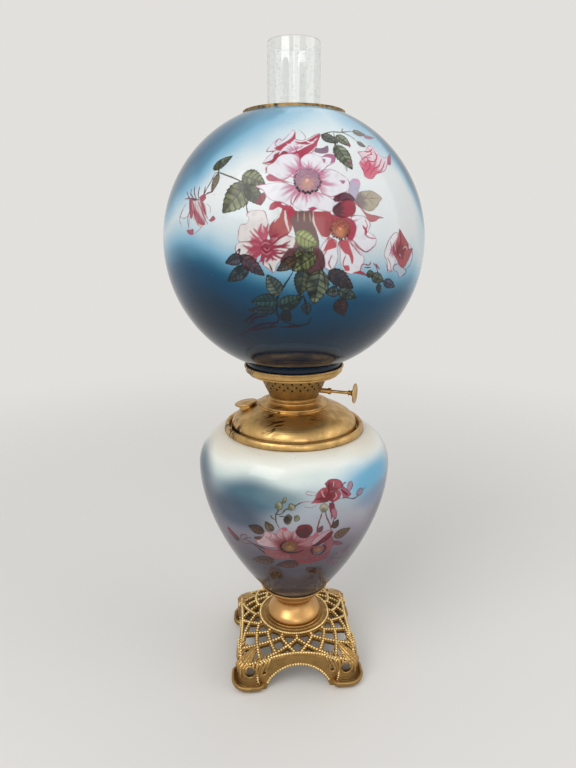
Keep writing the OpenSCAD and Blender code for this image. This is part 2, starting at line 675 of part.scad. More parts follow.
// Thimble that stands in the draught tube and spreads the flame
module flame_spreader() color("#b8863b") translate([0, 0, lip_z]) {
    stem_r = draught_r - slip;
    difference() {
        translate([0, 0, -14]) cylinder(r = stem_r, h = 24);
        translate([0, 0, -15]) cylinder(r = stem_r - 0.8, h = 26);
        for (row = [0:1], i = [0:7]) rotate([0, 0, (i + row * 0.5) * 45])
            translate([0, 0, 3.2 + row * 3.4]) rotate([0, 90, 0]) cylinder(r = 1.1, h = 20, $fn = 24);
    }
    // Collar that rests on the tube, and the spreading cap
    rotate_extrude() polygon([[stem_r - 0.4, 0], [draught_out - 0.1, 0], [draught_out - 0.1, 0.8],
                              [stem_r, 1.2], [stem_r - 0.4, 1.2]]);
    rotate_extrude() polygon(concat([[stem_r - 0.8, 9.4], [stem_r, 9.6]],
        curve([stem_r + 1.2, 10], [stem_r + 4.6, 10.4], [stem_r + 4.6, 11.6],
              [stem_r + 2.6, 11.8], 4),
        [[0, 13], [0, 12], [stem_r - 0.8, 10.8]]));
}

// ---- glass ----

chimney_line = concat([[chimney_foot_r, 0], [chimney_foot_r, 12]],
    curve([chimney_foot_r, 12], [chimney_foot_r, 22], [chimney_bulge_r, 26],
          [chimney_bulge_r, 42], 8),
    curve([chimney_bulge_r, 42], [chimney_bulge_r, 74], [chimney_top_r, 92],
          [chimney_top_r, 136], 14),
    [[chimney_top_r, chimney_h]]);

module chimney() color("#dfe9e6") translate([0, 0, floor_z]) rotate_extrude() polygon(concat(
    chimney_line, reversed(moved(chimney_line, [-chimney_wall, 0]))));

module globe() color("#9fc0cf") translate([0, 0, globe_z]) {
    inside = globe_r - globe_wall;
    low = asin(fitter_r / globe_r);
    high = asin(mouth_r / globe_r);
    low_in = asin((fitter_r - globe_wall) / inside);
    high_in = asin(mouth_r / inside);
    foot = globe_foot - globe_z;
    rotate_extrude() polygon(concat(
        [[fitter_r - globe_wall, foot], [fitter_r, foot]],
        arc([0, 0], globe_r, low - 90, 90 - high, 16),
        arc([0, 0], inside, 90 - high_in, low_in - 90, 16)));
}

module globe_rim() color("#8c6a34") translate([0, 0, mouth_z]) {
    in_r = mouth_r - 1.2;
    rotate_extrude() polygon(concat(
        [[in_r, -globe_wall - 3], [mouth_r - slip, -globe_wall - 3], [mouth_r - slip, 0.3]],
        [[mouth_r + 2.4, -0.6]], arc([mouth_r + 2.2, 0.3], 0.9, -70, 100, 5),
        [[in_r + 0.8, 1.6], [in_r, 1]]));
}

base_casting();
base_stem();
vase_cup();
clamp_tube();
clamp_washer();
clamp_nut();
vase_gasket();
vase_nut();
vase();
crown_ring();
font_dome();
font_pot();
font_neck();
draught_tube();
filler_neck();
filler_cap();
filler_washer();
burner_collar();
burner_bowl();
shade_ring();
chimney_gallery();
wick_tube();
shaft_gland();
knob_shaft();
wick_knob();
wick_pinion();
wick_carrier();
wick();
flame_spreader();
chimney();
globe();
globe_rim();
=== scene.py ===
import json
import math

import bpy
import numpy as np
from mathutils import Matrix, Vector

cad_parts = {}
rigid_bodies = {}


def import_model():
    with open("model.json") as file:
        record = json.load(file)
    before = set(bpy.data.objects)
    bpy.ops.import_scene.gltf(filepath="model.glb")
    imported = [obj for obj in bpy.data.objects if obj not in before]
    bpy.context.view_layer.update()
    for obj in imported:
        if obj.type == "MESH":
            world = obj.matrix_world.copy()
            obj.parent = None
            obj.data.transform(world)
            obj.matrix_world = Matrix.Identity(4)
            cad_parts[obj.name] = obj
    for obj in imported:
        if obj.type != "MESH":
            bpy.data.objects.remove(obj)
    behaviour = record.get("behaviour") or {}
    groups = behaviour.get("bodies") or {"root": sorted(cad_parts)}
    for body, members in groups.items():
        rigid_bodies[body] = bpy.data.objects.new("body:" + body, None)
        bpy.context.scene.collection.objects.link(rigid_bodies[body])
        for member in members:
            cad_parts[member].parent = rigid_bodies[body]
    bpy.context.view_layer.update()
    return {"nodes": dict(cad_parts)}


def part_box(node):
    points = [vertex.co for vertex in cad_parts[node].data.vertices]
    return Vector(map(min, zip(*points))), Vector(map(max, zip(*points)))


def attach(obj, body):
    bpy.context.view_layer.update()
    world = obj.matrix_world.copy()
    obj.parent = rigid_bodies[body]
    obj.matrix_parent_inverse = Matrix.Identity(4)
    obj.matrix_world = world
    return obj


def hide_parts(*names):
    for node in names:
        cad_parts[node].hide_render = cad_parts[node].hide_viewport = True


bl_info = {
    "name": "Parlour Oil Lamp",
    "version": (1, 0, 0),
    "blender": (4, 5, 0),
    "location": "3D View > Sidebar > Lamp",
    "description": "Dresses an oil lamp: sprayed and flowered glass, gilt brass, beaded cast base",
    "category": "Object",
}

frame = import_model()

MM = 0.001
FRONT = math.radians(-94.2)     # azimuth that the front of the lamp faces
FULL_TURN = 2 * math.pi


def srgb(red, green, blue):
    """A screen colour, 0 to 255, as Blender's linear colour."""
    return tuple((c / 255 / 12.92 if c <= 10 else ((c / 255 + 0.055) / 1.055) ** 2.4)
                 for c in (red, green, blue))


def foot_of(node):
    """Height of a CAD node's lowest point, in millimetres."""
    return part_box(node)[0].z / MM


def top_of(node):
    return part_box(node)[1].z / MM


# ---- settings ----

def colour_setting(name, description, *rgb):
    return bpy.props.FloatVectorProperty(name=name, description=description, subtype="COLOR",
                                         size=3, default=srgb(*rgb), min=0.0, max=1.0)


def length_setting(name, description, default, low, high):
    return bpy.props.FloatProperty(name=name, description=description + ", in millimetres",
                                   default=default, min=low, max=high)


class LampGlass(bpy.types.PropertyGroup):
    shade_r: length_setting("Shade radius", "Radius of the ball shade", 126.94, 90, 160)
    shade_wall: length_setting("Shade wall", "Thickness of the shade's opal glass", 3.0, 2, 5)
    chimney_wall: length_setting("Chimney wall", "Thickness of the chimney's glass", 1.6, 1, 3)
    chart_step: length_setting("Flower detail", "Distance between painted points", 0.5, 0.3, 2)
    pale: colour_setting("Opal", "Colour of the bare opal glass", 224, 228, 228)
    sky: colour_setting("Light blue", "Thin coat of the sprayed blue", 124, 174, 200)
    teal: colour_setting("Teal", "Full coat of the sprayed blue", 4, 66, 98)
    # The slate is partly the sprayed paint and partly painted shade under the ball
    slate_and_painted_shade: colour_setting("Slate", "Darkest coat, at the bottom of the shade", 14, 32, 50)


class LampBrass(bpy.types.PropertyGroup):
    gilt: colour_setting("Gilt", "Colour of the gilt brass", 206, 168, 108)
    copper: colour_setting("Coppery gilt", "Colour of the stem and its cup", 206, 160, 102)
    # The cast gilt is set darker than the other gilding as painted shade for the recesses between
    # the beads and strips
    cast: colour_setting("Cast gilt", "Colour of the cast base", 168, 134, 82)
    # Painted highlight: the beads' colour is partly rubbed gilding and partly the highlight that
    # catches each bead
    rubbed_and_highlit: colour_setting("Rubbed gilt", "Colour of the beads, rubbed bright", 240, 212, 152)
    stain: colour_setting("Stain", "Colour of the marks where the gilding has gone", 50, 34, 20)
    turn_steps: bpy.props.IntProperty(name="Turning steps", default=160, min=48, max=256,
                                      description="Facets round each turned piece")


class LampBase(bpy.types.PropertyGroup):
    bead_r: length_setting("Bead radius", "Radius of the beads on the lattice", 1.55, 0.5, 2)
    bead_gap: length_setting("Bead spacing", "Distance from bead to bead", 2.9, 1.5, 5)


class LampStage(bpy.types.PropertyGroup):
    floor: colour_setting("Floor", "Colour of the floor and of the room behind it", 226, 224, 220)
    lens: length_setting("Lens", "Focal length of the camera", 27.05, 18, 120)


# ---- outlines ----

def curve(a, b, c, d, n=10):
    """Points of a cubic curve from a to d."""
    t = np.linspace(0.0, 1.0, n + 1)[:, None]
    a, b, c, d = (np.array(p, float) for p in (a, b, c, d))
    s = 1.0 - t
    return [tuple(p) for p in a * s ** 3 + 3 * b * s * s * t + 3 * c * s * t * t + d * t ** 3]


def arc(centre, radius, start, end, n=8):
    """Points of a circular arc, with its angles in degrees."""
    angles = [math.radians(start + (end - start) * i / n) for i in range(n + 1)]
    return [(centre[0] + radius * math.cos(a), centre[1] + radius * math.sin(a)) for a in angles]


def shifted(line, out=0.0, up=0.0):
    return [(r + out, z + up) for r, z in line]


def lengths_along(path):
    """Length run at each point of a path."""
    return np.concatenate([[0], np.cumsum(np.linalg.norm(np.diff(path, axis=0), axis=1))])


def smooth_path(points, steps=8):
    """A rounded line through a few points."""
    p = np.array(points, float)
    if len(p) < 3:
        return p
    ends = np.vstack([2 * p[0] - p[1], p, 2 * p[-1] - p[-2]])
    out = []
    for i in range(1, len(ends) - 2):
        a, b, c, d = ends[i - 1:i + 3]
        for t in np.arange(steps) / steps:
            out.append(0.5 * (2 * b + (c - a) * t + (2 * a - 5 * b + 4 * c - d) * t * t
                              + (3 * b - a - 3 * c + d) * t ** 3))
    return np.vstack([out, p[-1]])


def vase_line():
    """Outer line of the vase, from its foot to its crown, above the vase's foot."""
    return (curve((27, 0), (50, 20.9), (102.25, 96.6), (102.25, 161), 40)
            + curve((102.25, 161), (102.25, 180.1), (88, 196.9), (74, 196.9), 22)[1:])


# ---- modelling ----

def start_fresh():
    """Leaves edit mode and deselects everything, so the next operator acts on its own piece."""
    if bpy.context.object and bpy.context.object.mode != "OBJECT":
        bpy.ops.object.mode_set(mode="OBJECT")
    bpy.ops.object.select_all(action="DESELECT")


def close_mesh(merge=None):
    """In edit mode: merges doubles where asked, turns the faces outwards and goes back."""
    bpy.ops.mesh.select_all(action="SELECT")
    if merge:
        bpy.ops.mesh.remove_doubles(threshold=merge * MM)
    bpy.ops.mesh.normals_make_consistent(inside=False)
    bpy.ops.object.mode_set(mode="OBJECT")


def named(name):
    piece = bpy.context.object
    piece.name = piece.data.name = name
    return piece


def turn(name, outline, steps, crease=40.0):
    """Turns a closed outline of (radius, height) points about the axis, as a lathe would."""
    start_fresh()
    bpy.ops.mesh.primitive_plane_add(size=MM, location=(0, 0, 0), enter_editmode=True)
    bpy.ops.mesh.merge(type="CENTER")
    bpy.ops.transform.translate(value=(outline[0][0] * MM, 0, outline[0][1] * MM))
    points = [p for p, q in zip(outline, outline[1:] + [None]) if p != q]
    for a, b in zip(points, points[1:]):
        bpy.ops.mesh.extrude_region_move(
            TRANSFORM_OT_translate={"value": ((b[0] - a[0]) * MM, 0, (b[1] - a[1]) * MM)})
    bpy.ops.mesh.select_all(action="SELECT")
    bpy.ops.mesh.spin(steps=steps, angle=FULL_TURN, center=(0, 0, 0), axis=(0, 0, 1))
    close_mesh(merge=0.002)
    bpy.ops.object.shade_smooth_by_angle(angle=math.radians(crease))
    return named(name)


def finish_piece(piece, material, body, replaces=()):
    """Gives a piece its material and its place on the lamp's bodies."""
    piece.data.materials.clear()
    piece.data.materials.append(material)
    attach(piece, body)
    if replaces:
        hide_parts(*replaces)


def dress(material, *names):
    """Gives CAD nodes their finish."""
    for name in names:
        held = frame["nodes"][name]
        if not held.material_slots:
            held.data.materials.append(material)
        for slot in held.material_slots:
            slot.material = material


def write_colour(piece, name, colours):
    """Stores one colour for each point of a piece."""
    layer = piece.data.attributes.new(name, "FLOAT_COLOR", "POINT")
    full = np.ones((len(piece.data.vertices), 4), np.float32)
    full[:, :3] = colours
    layer.data.foreach_set("color", full.ravel())


def points_of(piece):
    flat = np.empty(len(piece.data.vertices) * 3, np.float32)
    piece.data.vertices.foreach_get("co", flat)
    return flat.reshape(-1, 3).astype(float) / MM


# ---- shader parts ----

def feed(tree, socket, value):
    """Links another node's output to a socket, or gives the socket a plain value."""
    value = value.end if isinstance(value, Wire) else value
    if isinstance(value, bpy.types.NodeSocket):
        tree.links.new(value, socket)
    else:
        socket.default_value = value


def add_node(tree, kind, inputs=None, **settings):
    """Adds a shader node with its settings, and feeds its inputs."""
    made = tree.nodes.new(kind)
    for key, value in settings.items():
        setattr(made, key, value)
    for key, value in (inputs or {}).items():
        feed(tree, made.inputs[key], value)
    return made


class Wire:
    """An output of a node, which can be added, subtracted, multiplied and divided."""

    def __init__(self, tree, end):
        self.tree, self.end = tree, end

    def math(self, operation, other=0.0, first=None):
        a, b = (self, other) if first is None else (first, self)
        return Wire(self.tree, add_node(self.tree, "ShaderNodeMath", {0: a, 1: b},
                                        operation=operation).outputs[0])

    def __add__(self, other):
        return self.math("ADD", other)

    def __mul__(self, other):
        return self.math("MULTIPLY", other)

    def __rsub__(self, other):
        return self.math("SUBTRACT", first=other)

    def __rtruediv__(self, other):
        return self.math("DIVIDE", first=other)

    def step(self, low, high):
        """A soft step: 0 where the value is under low, 1 over high."""
        return Wire(self.tree, add_node(
            self.tree, "ShaderNodeMapRange", {"Value": self, "From Min": low, "From Max": high},
            interpolation_type="SMOOTHSTEP").outputs["Result"])

    def mix(self, a, b):
        """Colour a going to colour b by this amount."""
        a, b = (v if isinstance(v, Wire) else (*v[:3], 1.0) for v in (a, b))
        return Wire(self.tree, add_node(self.tree, "ShaderNodeMix", {0: self, 6: a, 7: b},
                                        data_type="RGBA").outputs[2])

    def noise(self, scale, detail, **more):
        """Noise over these coordinates."""
        values = {"Vector": self, "Scale": scale, "Detail": detail,
                  **{key.capitalize(): value for key, value in more.items()}}
        return Wire(self.tree, add_node(self.tree, "ShaderNodeTexNoise", values).outputs["Fac"])

    def scaled(self, scale, rotation=(0, 0, 0)):
        return Wire(self.tree, add_node(self.tree, "ShaderNodeMapping", {
            "Vector": self, "Rotation": rotation, "Scale": scale}).outputs[0])

    def group(self, kind, **inputs):
        """The outputs of one of the node groups, over these coordinates."""
        made = add_node(self.tree, "ShaderNodeGroup", {"Vector": self, **inputs},
                        node_tree=group_named(kind))
        return {output.name: Wire(self.tree, output) for output in made.outputs}


def group_named(kind):
    """A node group, made the first time it is asked for."""
    found = bpy.data.node_groups.get(kind)
    if found:
        return found
    build, inputs, outputs = GROUPS[kind]
    group = bpy.data.node_groups.new(kind, "ShaderNodeTree")
    group.interface.new_socket(name="Vector", in_out="INPUT", socket_type="NodeSocketVector")
    for label, default in inputs.items():
        group.interface.new_socket(name=label, in_out="INPUT",
                                   socket_type="NodeSocketFloat").default_value = default
    for label in outputs:
        group.interface.new_socket(name=label, in_out="OUTPUT", socket_type="NodeSocketFloat")
    given = {socket.name.lower(): Wire(group, socket)
             for socket in group.nodes.new("NodeGroupInput").outputs if socket.name}
    ends = group.nodes.new("NodeGroupOutput").inputs
    for label, wire in zip(outputs, build(group, **given)):
        group.links.new(wire.end, ends[label])
    return group


def tarnish(tree, vector, size, amount):
    """Spots, streaks and a cloudy unevenness, for gilding that has worn."""
    scale = 1000.0 / size
    cloud = vector.noise(scale, 5.0, roughness=0.6)
    spots = vector.noise(scale * 3.3, 6.0, roughness=0.7, distortion=0.6)
    low = 0.78 - amount * 0.26
    return (cloud * 0.45 + spots * 0.62).step(low, low + 0.09), cloud, vector.noise(900.0, 3.0)


def lathe_lines(tree, vector):
    """Fine rings left by turning and polishing about the axis."""
    x, y, z = (Wire(tree, out) for out in
               add_node(tree, "ShaderNodeSeparateXYZ", {"Vector": vector}).outputs)
    radius = (x * x + y * y).math("SQRT")
    joined = Wire(tree, add_node(tree, "ShaderNodeCombineXYZ", {
        0: radius * 2600.0, 1: z * 2600.0, 2: y.math("ARCTAN2", x) * 1.3}).outputs[0])
    return (joined.noise(1.0, 2.0),)


def scuffs(tree, vector, amount):
    """Sparse thin scratches and specks for old glass and brass."""
    lines = vector.scaled((30.0, 210.0, 60.0), (0.5, 0.9, 0.3)).noise(1.0, 4.0, distortion=1.6)
    low = 0.76 - amount * 0.08
    specks = add_node(tree, "ShaderNodeTexVoronoi", {"Vector": vector, "Scale": 210.0}).outputs
    keep = add_node(tree, "ShaderNodeSeparateColor", {"Color": specks["Color"]}).outputs[0]
    chosen = Wire(tree, keep).math("GREATER_THAN", 1.0 - amount * 0.12)
    return (lines.step(low, low + 0.02) * vector.noise(22.0, 1.0).step(0.55, 0.66),
            Wire(tree, specks["Distance"]).step(0.13, 0.05) * chosen)


# Each group's maker, its inputs beside the coordinates, and its outputs
GROUPS = {"Tarnish": (tarnish, {"Size": 9.0, "Amount": 0.4}, ("Stain", "Cloud", "Grain")),
          "Lathe lines": (lathe_lines, {}, ("Height",)),
          "Scuffs": (scuffs, {"Amount": 0.5}, ("Scratch", "Speck"))}


# ---- materials ----

def material_named(name, build, *values, **choices):
    """A material, built the first time it is asked for."""
    found = bpy.data.materials.get(name)
    if found:
        return found
    material = bpy.data.materials.new(name)
    material.use_nodes = True
    tree = material.node_tree
    place = Wire(tree, add_node(tree, "ShaderNodeTexCoord").outputs["Object"])
    finish, bump = build(tree, place, *values, **choices)
    if bump:
        height, strength, distance = bump
        finish["Normal"] = add_node(tree, "ShaderNodeBump", {
            "Height": height, "Strength": strength, "Distance": distance * MM}).outputs[0]
    for key, value in finish.items():
        feed(tree, tree.nodes["Principled BSDF"].inputs[key], value)
    return material


def metal(name, colour, **choices):
    """Gilt metal with cloudy wear, stains and the marks of the lathe or of the mould."""
    return material_named(name, worn_metal, colour, **choices)


def worn_metal(tree, place, colour, size=9.0, amount=0.4, rough=0.32, turned=True, grain=0.0,
               stipple=0.0, deep=0.55, chips=0.0):
    stain = bpy.context.scene.lamp_brass.stain
    wear = place.group("Tarnish", Size=size, Amount=amount)
    cloudy = wear["Cloud"].step(0.30, 0.72)
    base = (cloudy * 0.65).mix(colour, tuple(c * deep for c in colour))
    base = (wear["Stain"] * 0.85).mix(base, stain)
    if chips:
        marks = place.group("Scuffs", Amount=chips)
        base = (marks["Scratch"].math("MAXIMUM", marks["Speck"]) * 0.9).mix(base, stain)
    height = wear["Stain"] * -0.5
    if turned:
        height = height + place.group("Lathe lines")["Height"] * 0.35
    if grain:
        height = height + wear["Grain"] * grain
    if stipple:
        cells = add_node(tree, "ShaderNodeTexVoronoi", {"Vector": place, "Scale": 620.0})
        height = height + Wire(tree, cells.outputs["Distance"]).step(0.15, 0.62) * stipple
    finish = {"Base Color": base, "Metallic": 1.0 - wear["Stain"] * 0.55,
              "Roughness": cloudy * 0.16 + wear["Stain"] * 0.3 + rough}
    return finish, (height, 0.35, 0.25)


def painted_glass(tree, place, flowers=False):
    """Glossy opal glass with sprayed colour, and fired flowers where a piece has them."""
    def stored(name, kind="Color"):
        return Wire(tree, add_node(tree, "ShaderNodeAttribute", attribute_name=name).outputs[kind])

    uneven = place.noise(520.0, 3.0) * 0.1 + 0.95
    colour = Wire(tree, add_node(tree, "ShaderNodeHueSaturation", {
        "Value": uneven, "Color": stored("sprayed")}).outputs["Color"])
    if flowers:
        colour = stored("cover", "Fac").mix(colour, stored("fired"))
    marks = place.group("Scuffs", Amount=0.8)
    colour = (marks["Scratch"] * 0.35).mix(colour, srgb(120, 108, 90))
    colour = (marks["Speck"] * 0.6).mix(colour, srgb(70, 62, 54))
    finish = {"Base Color": colour, "IOR": 1.45, "Specular IOR Level": 0.32,
              "Coat Weight": 0.04, "Coat Roughness": 0.04,
              "Roughness": place.noise(16.0, 3.0) * 0.1 + marks["Scratch"] * 0.3 + 0.07}
    return finish, (place.noise(26.0, 1.0), 0.25, 0.4)


def blown_glass(tree, place):
    """Clear glass with seeds and a little dust, for the chimney."""
    specks = place.group("Scuffs", Amount=2.4)["Speck"]
    dust = place.noise(340.0, 2.0).step(0.60, 0.76)
    drawn = place.scaled((90, 90, 9)).noise(1.0, 2.0)
    finish = {"Base Color": (dust * 0.4).mix((0.95, 0.97, 0.97), srgb(176, 170, 160)),
              "Roughness": dust * 0.3 + specks * 0.5 + 0.015, "Transmission Weight": 1.0,
              "IOR": 1.47}
    return finish, (drawn + specks * 2.0, 0.3, 0.3)


def plain_part(tree, place, colour, rough, metallic=0.0, woven=False):
    """Small hidden parts: washers, nuts and the wick."""
    speckle = height = place.noise(420.0, 5.0)
    if woven:
        threads = add_node(tree, "ShaderNodeTexWave", {
            "Vector": place, "Scale": 900.0, "Distortion": 1.5}, bands_direction="Z")
        height = speckle + Wire(tree, threads.outputs["Fac"])
    finish = {"Base Color": speckle.step(0.35, 0.7).mix(colour, tuple(c * 0.6 for c in colour)),
              "Roughness": rough, "Metallic": metallic}
    return finish, (height, 0.4, 0.3)


# ---- painted flowers ----

INK, PINE, BARK = (40, 30, 30), (36, 42, 34), (94, 66, 54)


def fired(colour):
    """A screen colour, 0 to 255, as a row of linear values; other rows stay as they are."""
    return np.array(srgb(*colour)) if isinstance(colour, tuple) else colour


def smooth(low, high, value):
    """0 below low, 1 above high and a soft step between them."""
    t = np.clip((value - low) / (high - low), 0.0, 1.0)
    return t * t * (3.0 - 2.0 * t)


def fade(low, high, value):
    return 1.0 - smooth(low, high, value)


def mix(a, b, amount):
    """Colour a going to colour b, for an array of amounts."""
    amount = np.asarray(amount)[..., None]
    return np.asarray(a) * (1.0 - amount) + np.asarray(b) * amount


def ripple(x, y, size, seed):
    """Smooth unevenness between about -1 and 1, made of waves about size long."""
    rng = np.random.default_rng(seed)
    total = np.zeros_like(x)
    for _ in range(7):
        turned, shift = rng.uniform(0.0, FULL_TURN, 2)
        pitch = FULL_TURN / (size * rng.uniform(0.6, 1.6))
        total += np.sin((x * math.cos(turned) + y * math.sin(turned)) * pitch + shift)
    return total / 3.2


def gap_to(a, b, x, y):
    """How far points lie from the stretch a to b, and their place along it from 0 to 1."""
    d = b - a
    t = np.clip(((x - a[0]) * d[0] + (y - a[1]) * d[1]) / max(d @ d, 1e-9), 0.0, 1.0)
    return np.hypot(x - a[0] - t * d[0], y - a[1] - t * d[1]), t


def pairs(path):
    """Points of a path that lists them as x, y, x, y and so on."""
    return np.array(path, float).reshape(-1, 2)


class Brush:
    """Lays fired colours on a chart of points, in millimetres across and up."""
    soft = 0.35     # half the width of a soft edge

    def __init__(self, x, y):
        self.x, self.y, self.seed = x, y, 1
        self.colour, self.cover = np.zeros((x.size, 3)), np.zeros(x.size)

    def window(self, low, high):
        spots = np.nonzero((self.x > low[0]) & (self.x < high[0])
                           & (self.y > low[1]) & (self.y < high[1]))[0]
        return spots, self.x[spots], self.y[spots]

    def near(self, x, y, reach):
        self.seed += 1
        spots, px, py = self.window((x - reach, y - reach), (x + reach, y + reach))
        return spots, px - x, py - y

    def lay(self, spots, colour, amount):
        amount = np.clip(amount, 0.0, 1.0)
        under = self.cover[spots] * (1.0 - amount)
        self.colour[spots] = mix(self.colour[spots], colour,
                                 amount / np.maximum(amount + under, 1e-6))
        self.cover[spots] = amount + under

    def line(self, points, width, colour, strength=1.0):
        """A pen line through the points, thinner towards its ends."""
        points = smooth_path(points)
        spots, x, y = self.window(points.min(0) - 2 * width, points.max(0) + 2 * width)
        if not spots.size:
            return
        best, along = np.full(spots.size, 1e9), np.zeros(spots.size)
        for i, (a, b) in enumerate(zip(points[:-1], points[1:])):
            gap, t = gap_to(a, b, x, y)
            closer = gap < best
            best[closer], along[closer] = gap[closer], i + t[closer]
        along = np.clip(along / (len(points) - 1), 0.02, 0.98)
        self.seed += 1
        half = (width / 2 * (0.35 + 0.65 * np.sin(math.pi * along) ** 0.6)
                * (1.0 + 0.25 * ripple(x, y, 5.0, self.seed)))
        self.lay(spots, fired(colour), strength * fade(half - self.soft, half + self.soft, best))

    def pens(self, colour, width, *paths):
        for path in paths:
            self.line(pairs(path), width, colour)

    def spot(self, x, y, radius, colour, strength):
        spots, dx, dy = self.near(x, y, radius * 2 + 1)
        self.lay(spots, colour,
                 strength * fade(radius - self.soft, radius + self.soft, np.hypot(dx, dy)))

    def heart(self, x, y, radius, tone, dots, middle):
        """The middle of an open rose: a downy disc in a ring of dark anthers."""
        tone, middle, ink = fired(tone), fired(middle), fired(INK)
        spots, dx, dy = self.near(x, y, radius * 1.8)
        grain = ripple(dx, dy, 2.4, self.seed)
        colour = mix(tone, tone * 0.72, smooth(-0.3, 1.1, grain) * 0.7)
        colour = mix(colour, middle, fade(0.1, 0.75, np.hypot(dx / radius, dy / radius + 0.28)))
        frill = radius * (0.99 + 0.07 * np.sin(np.arctan2(dy, dx) * dots))
        self.lay(spots, colour, 0.96 * fade(frill - 0.4, frill + 0.5, np.hypot(dx, dy * 1.04)))
        rng = np.random.default_rng(self.seed)
        for i in range(dots):
            a = FULL_TURN * (i + rng.uniform(-0.3, 0.3)) / dots
            lower = 0.5 - 0.5 * math.sin(a)
            d = radius * rng.uniform(0.90, 1.04)
            self.spot(x + d * math.cos(a), y + d * math.sin(a) * 0.96,
                      radius * (0.05 + 0.055 * lower), ink, 0.45 + 0.5 * lower)
        for _ in range(dots):
            a, d = rng.uniform(0, FULL_TURN), radius * math.sqrt(rng.uniform(0.02, 0.7))
            self.spot(x + d * math.cos(a), y + d * math.sin(a), radius * 0.05, middle * 1.25, 0.6)
        self.spot(x, y, radius * 0.12, middle * 1.7, 0.8)

    def leaf(self, x, y, turned, length, width, light, dark, pen, strength=0.95, bend=0.0):
        """A toothed leaf whose stalk end is at (x, y)."""
        pen = fired(pen)
        spots, dx, dy = self.near(x, y, length * 1.25)
        c, s = math.cos(math.radians(turned)), math.sin(math.radians(turned))
        t = (dx * c + dy * s) / length
        side = (-dx * s + dy * c) - bend * length * t * (1.0 - t)
        tc = np.clip(t, 0.0, 1.0)
        tooth = (tc * 8 - 0.35 * abs(side) / width) % 1.0
        edge = width / 2 * np.sin(math.pi * tc ** 0.72) ** 0.85 * (0.90 + 0.14 * tooth)
        gap = np.where((t > 0) & (t < 1), abs(side) - edge, 9.0)
        mottled = 0.5 + 0.5 * ripple(dx, dy, length * 0.35, self.seed)
        tint = mix(fired(dark), fired(light),
                   np.clip(0.75 * mottled + np.where(side > 0, 0.25, -0.15), 0, 1))
        rib = (t * 6 - abs(side) / width * 1.7) % 1.0
        tint = mix(tint, pen, 0.75 * fade(0.07, 0.24, abs(rib - 0.5))
                   * smooth(0.0, 0.4, edge + 0.2 - abs(side)))
        tint = mix(tint, pen, 0.85 * fade(0.25, 0.75, abs(side)))
        self.lay(spots, tint, strength * fade(-self.soft, self.soft, gap))
        self.lay(spots, pen, 0.9 * strength * fade(0.25, 0.95, abs(gap + 0.35)))

    def leaves(self, pen, *rows, **choices):
        """Several leaves, with each row as place, turn, length, width, light and dark."""
        for row in rows:
            self.leaf(*row, pen, **choices)

    def wisps(self, x, y, turned, spread, length, count, colour, width, seed):
        """Loose strokes that fan out from (x, y), as of a frayed blossom."""
        rng = np.random.default_rng(seed)
        for i in range(count):
            a = math.radians(turned + spread * (i / (count - 1) - 0.5) + rng.uniform(-4, 4))
            reach = length * rng.uniform(0.65, 1.05)
            off = rng.uniform(-0.18, 0.18) * reach
            start = reach * rng.uniform(0.05, 0.3)
            c, s = math.cos(a), math.sin(a)
            self.line([(x + start * c, y + start * s),
                       (x + reach * 0.6 * c - off * s, y + reach * 0.6 * s + off * c),
                       (x + reach * c, y + reach * s)], width * rng.uniform(0.7, 1.5), colour, 0.9)

    def shape(self, outline, body, tone=None, core=(0, 0), reach=14.0, pen=None, width=0.7,
              strength=0.96):
        """A patch inside a closed outline: body colour, turning to tone near the core point."""
        corners = pairs(outline)
        path = smooth_path(np.vstack([corners, corners[:1]]), 5)
        spots, x, y = self.window(path.min(0) - 2, path.max(0) + 2)
        if not spots.size:
            return
        gap, within = np.full(spots.size, 1e9), np.zeros(spots.size, bool)
        for a, b in zip(path[:-1], path[1:]):
            gap = np.minimum(gap, gap_to(a, b, x, y)[0])
            if a[1] != b[1]:
                within ^= (((a[1] > y) != (b[1] > y))
                           & (x < a[0] + (b[0] - a[0]) * (y - a[1]) / (b[1] - a[1])))
        self.seed += 1
        body = fired(body)
        tint = mix(body, body * 0.90, smooth(0.0, 1.2, ripple(x, y, 9.0, self.seed)))
        if tone is not None:
            dx, dy = x - core[0], y - core[1]
            around = np.arctan2(dy, dx)
            ray = 0.5 + 0.5 * np.sin(around * 34 + 2.0 * ripple(dx, dy, 16, self.seed + 50))
            petals = ripple(np.cos(around) * 9, np.sin(around) * 9, 3.0, self.seed + 9)
            depth = np.hypot(dx, dy) / (reach * (1.0 + 0.22 * petals))
            tint = mix(tint, fired(tone), fade(0.55, 1.25, depth - 0.15 * ray))
        self.lay(spots, tint, strength * smooth(-self.soft, self.soft, np.where(within, gap, -gap)))
        if pen is not None:
            press = 0.62 + 0.38 * ripple(x, y, 11.0, self.seed + 20)
            self.lay(spots, fired(pen), np.clip(press, 0.25, 1)
                     * fade(width * 0.3, width * 0.3 + self.soft * 1.3, gap))

    def patches(self, colour, *outlines):
        for outline in outlines:
            self.shape(outline, colour)


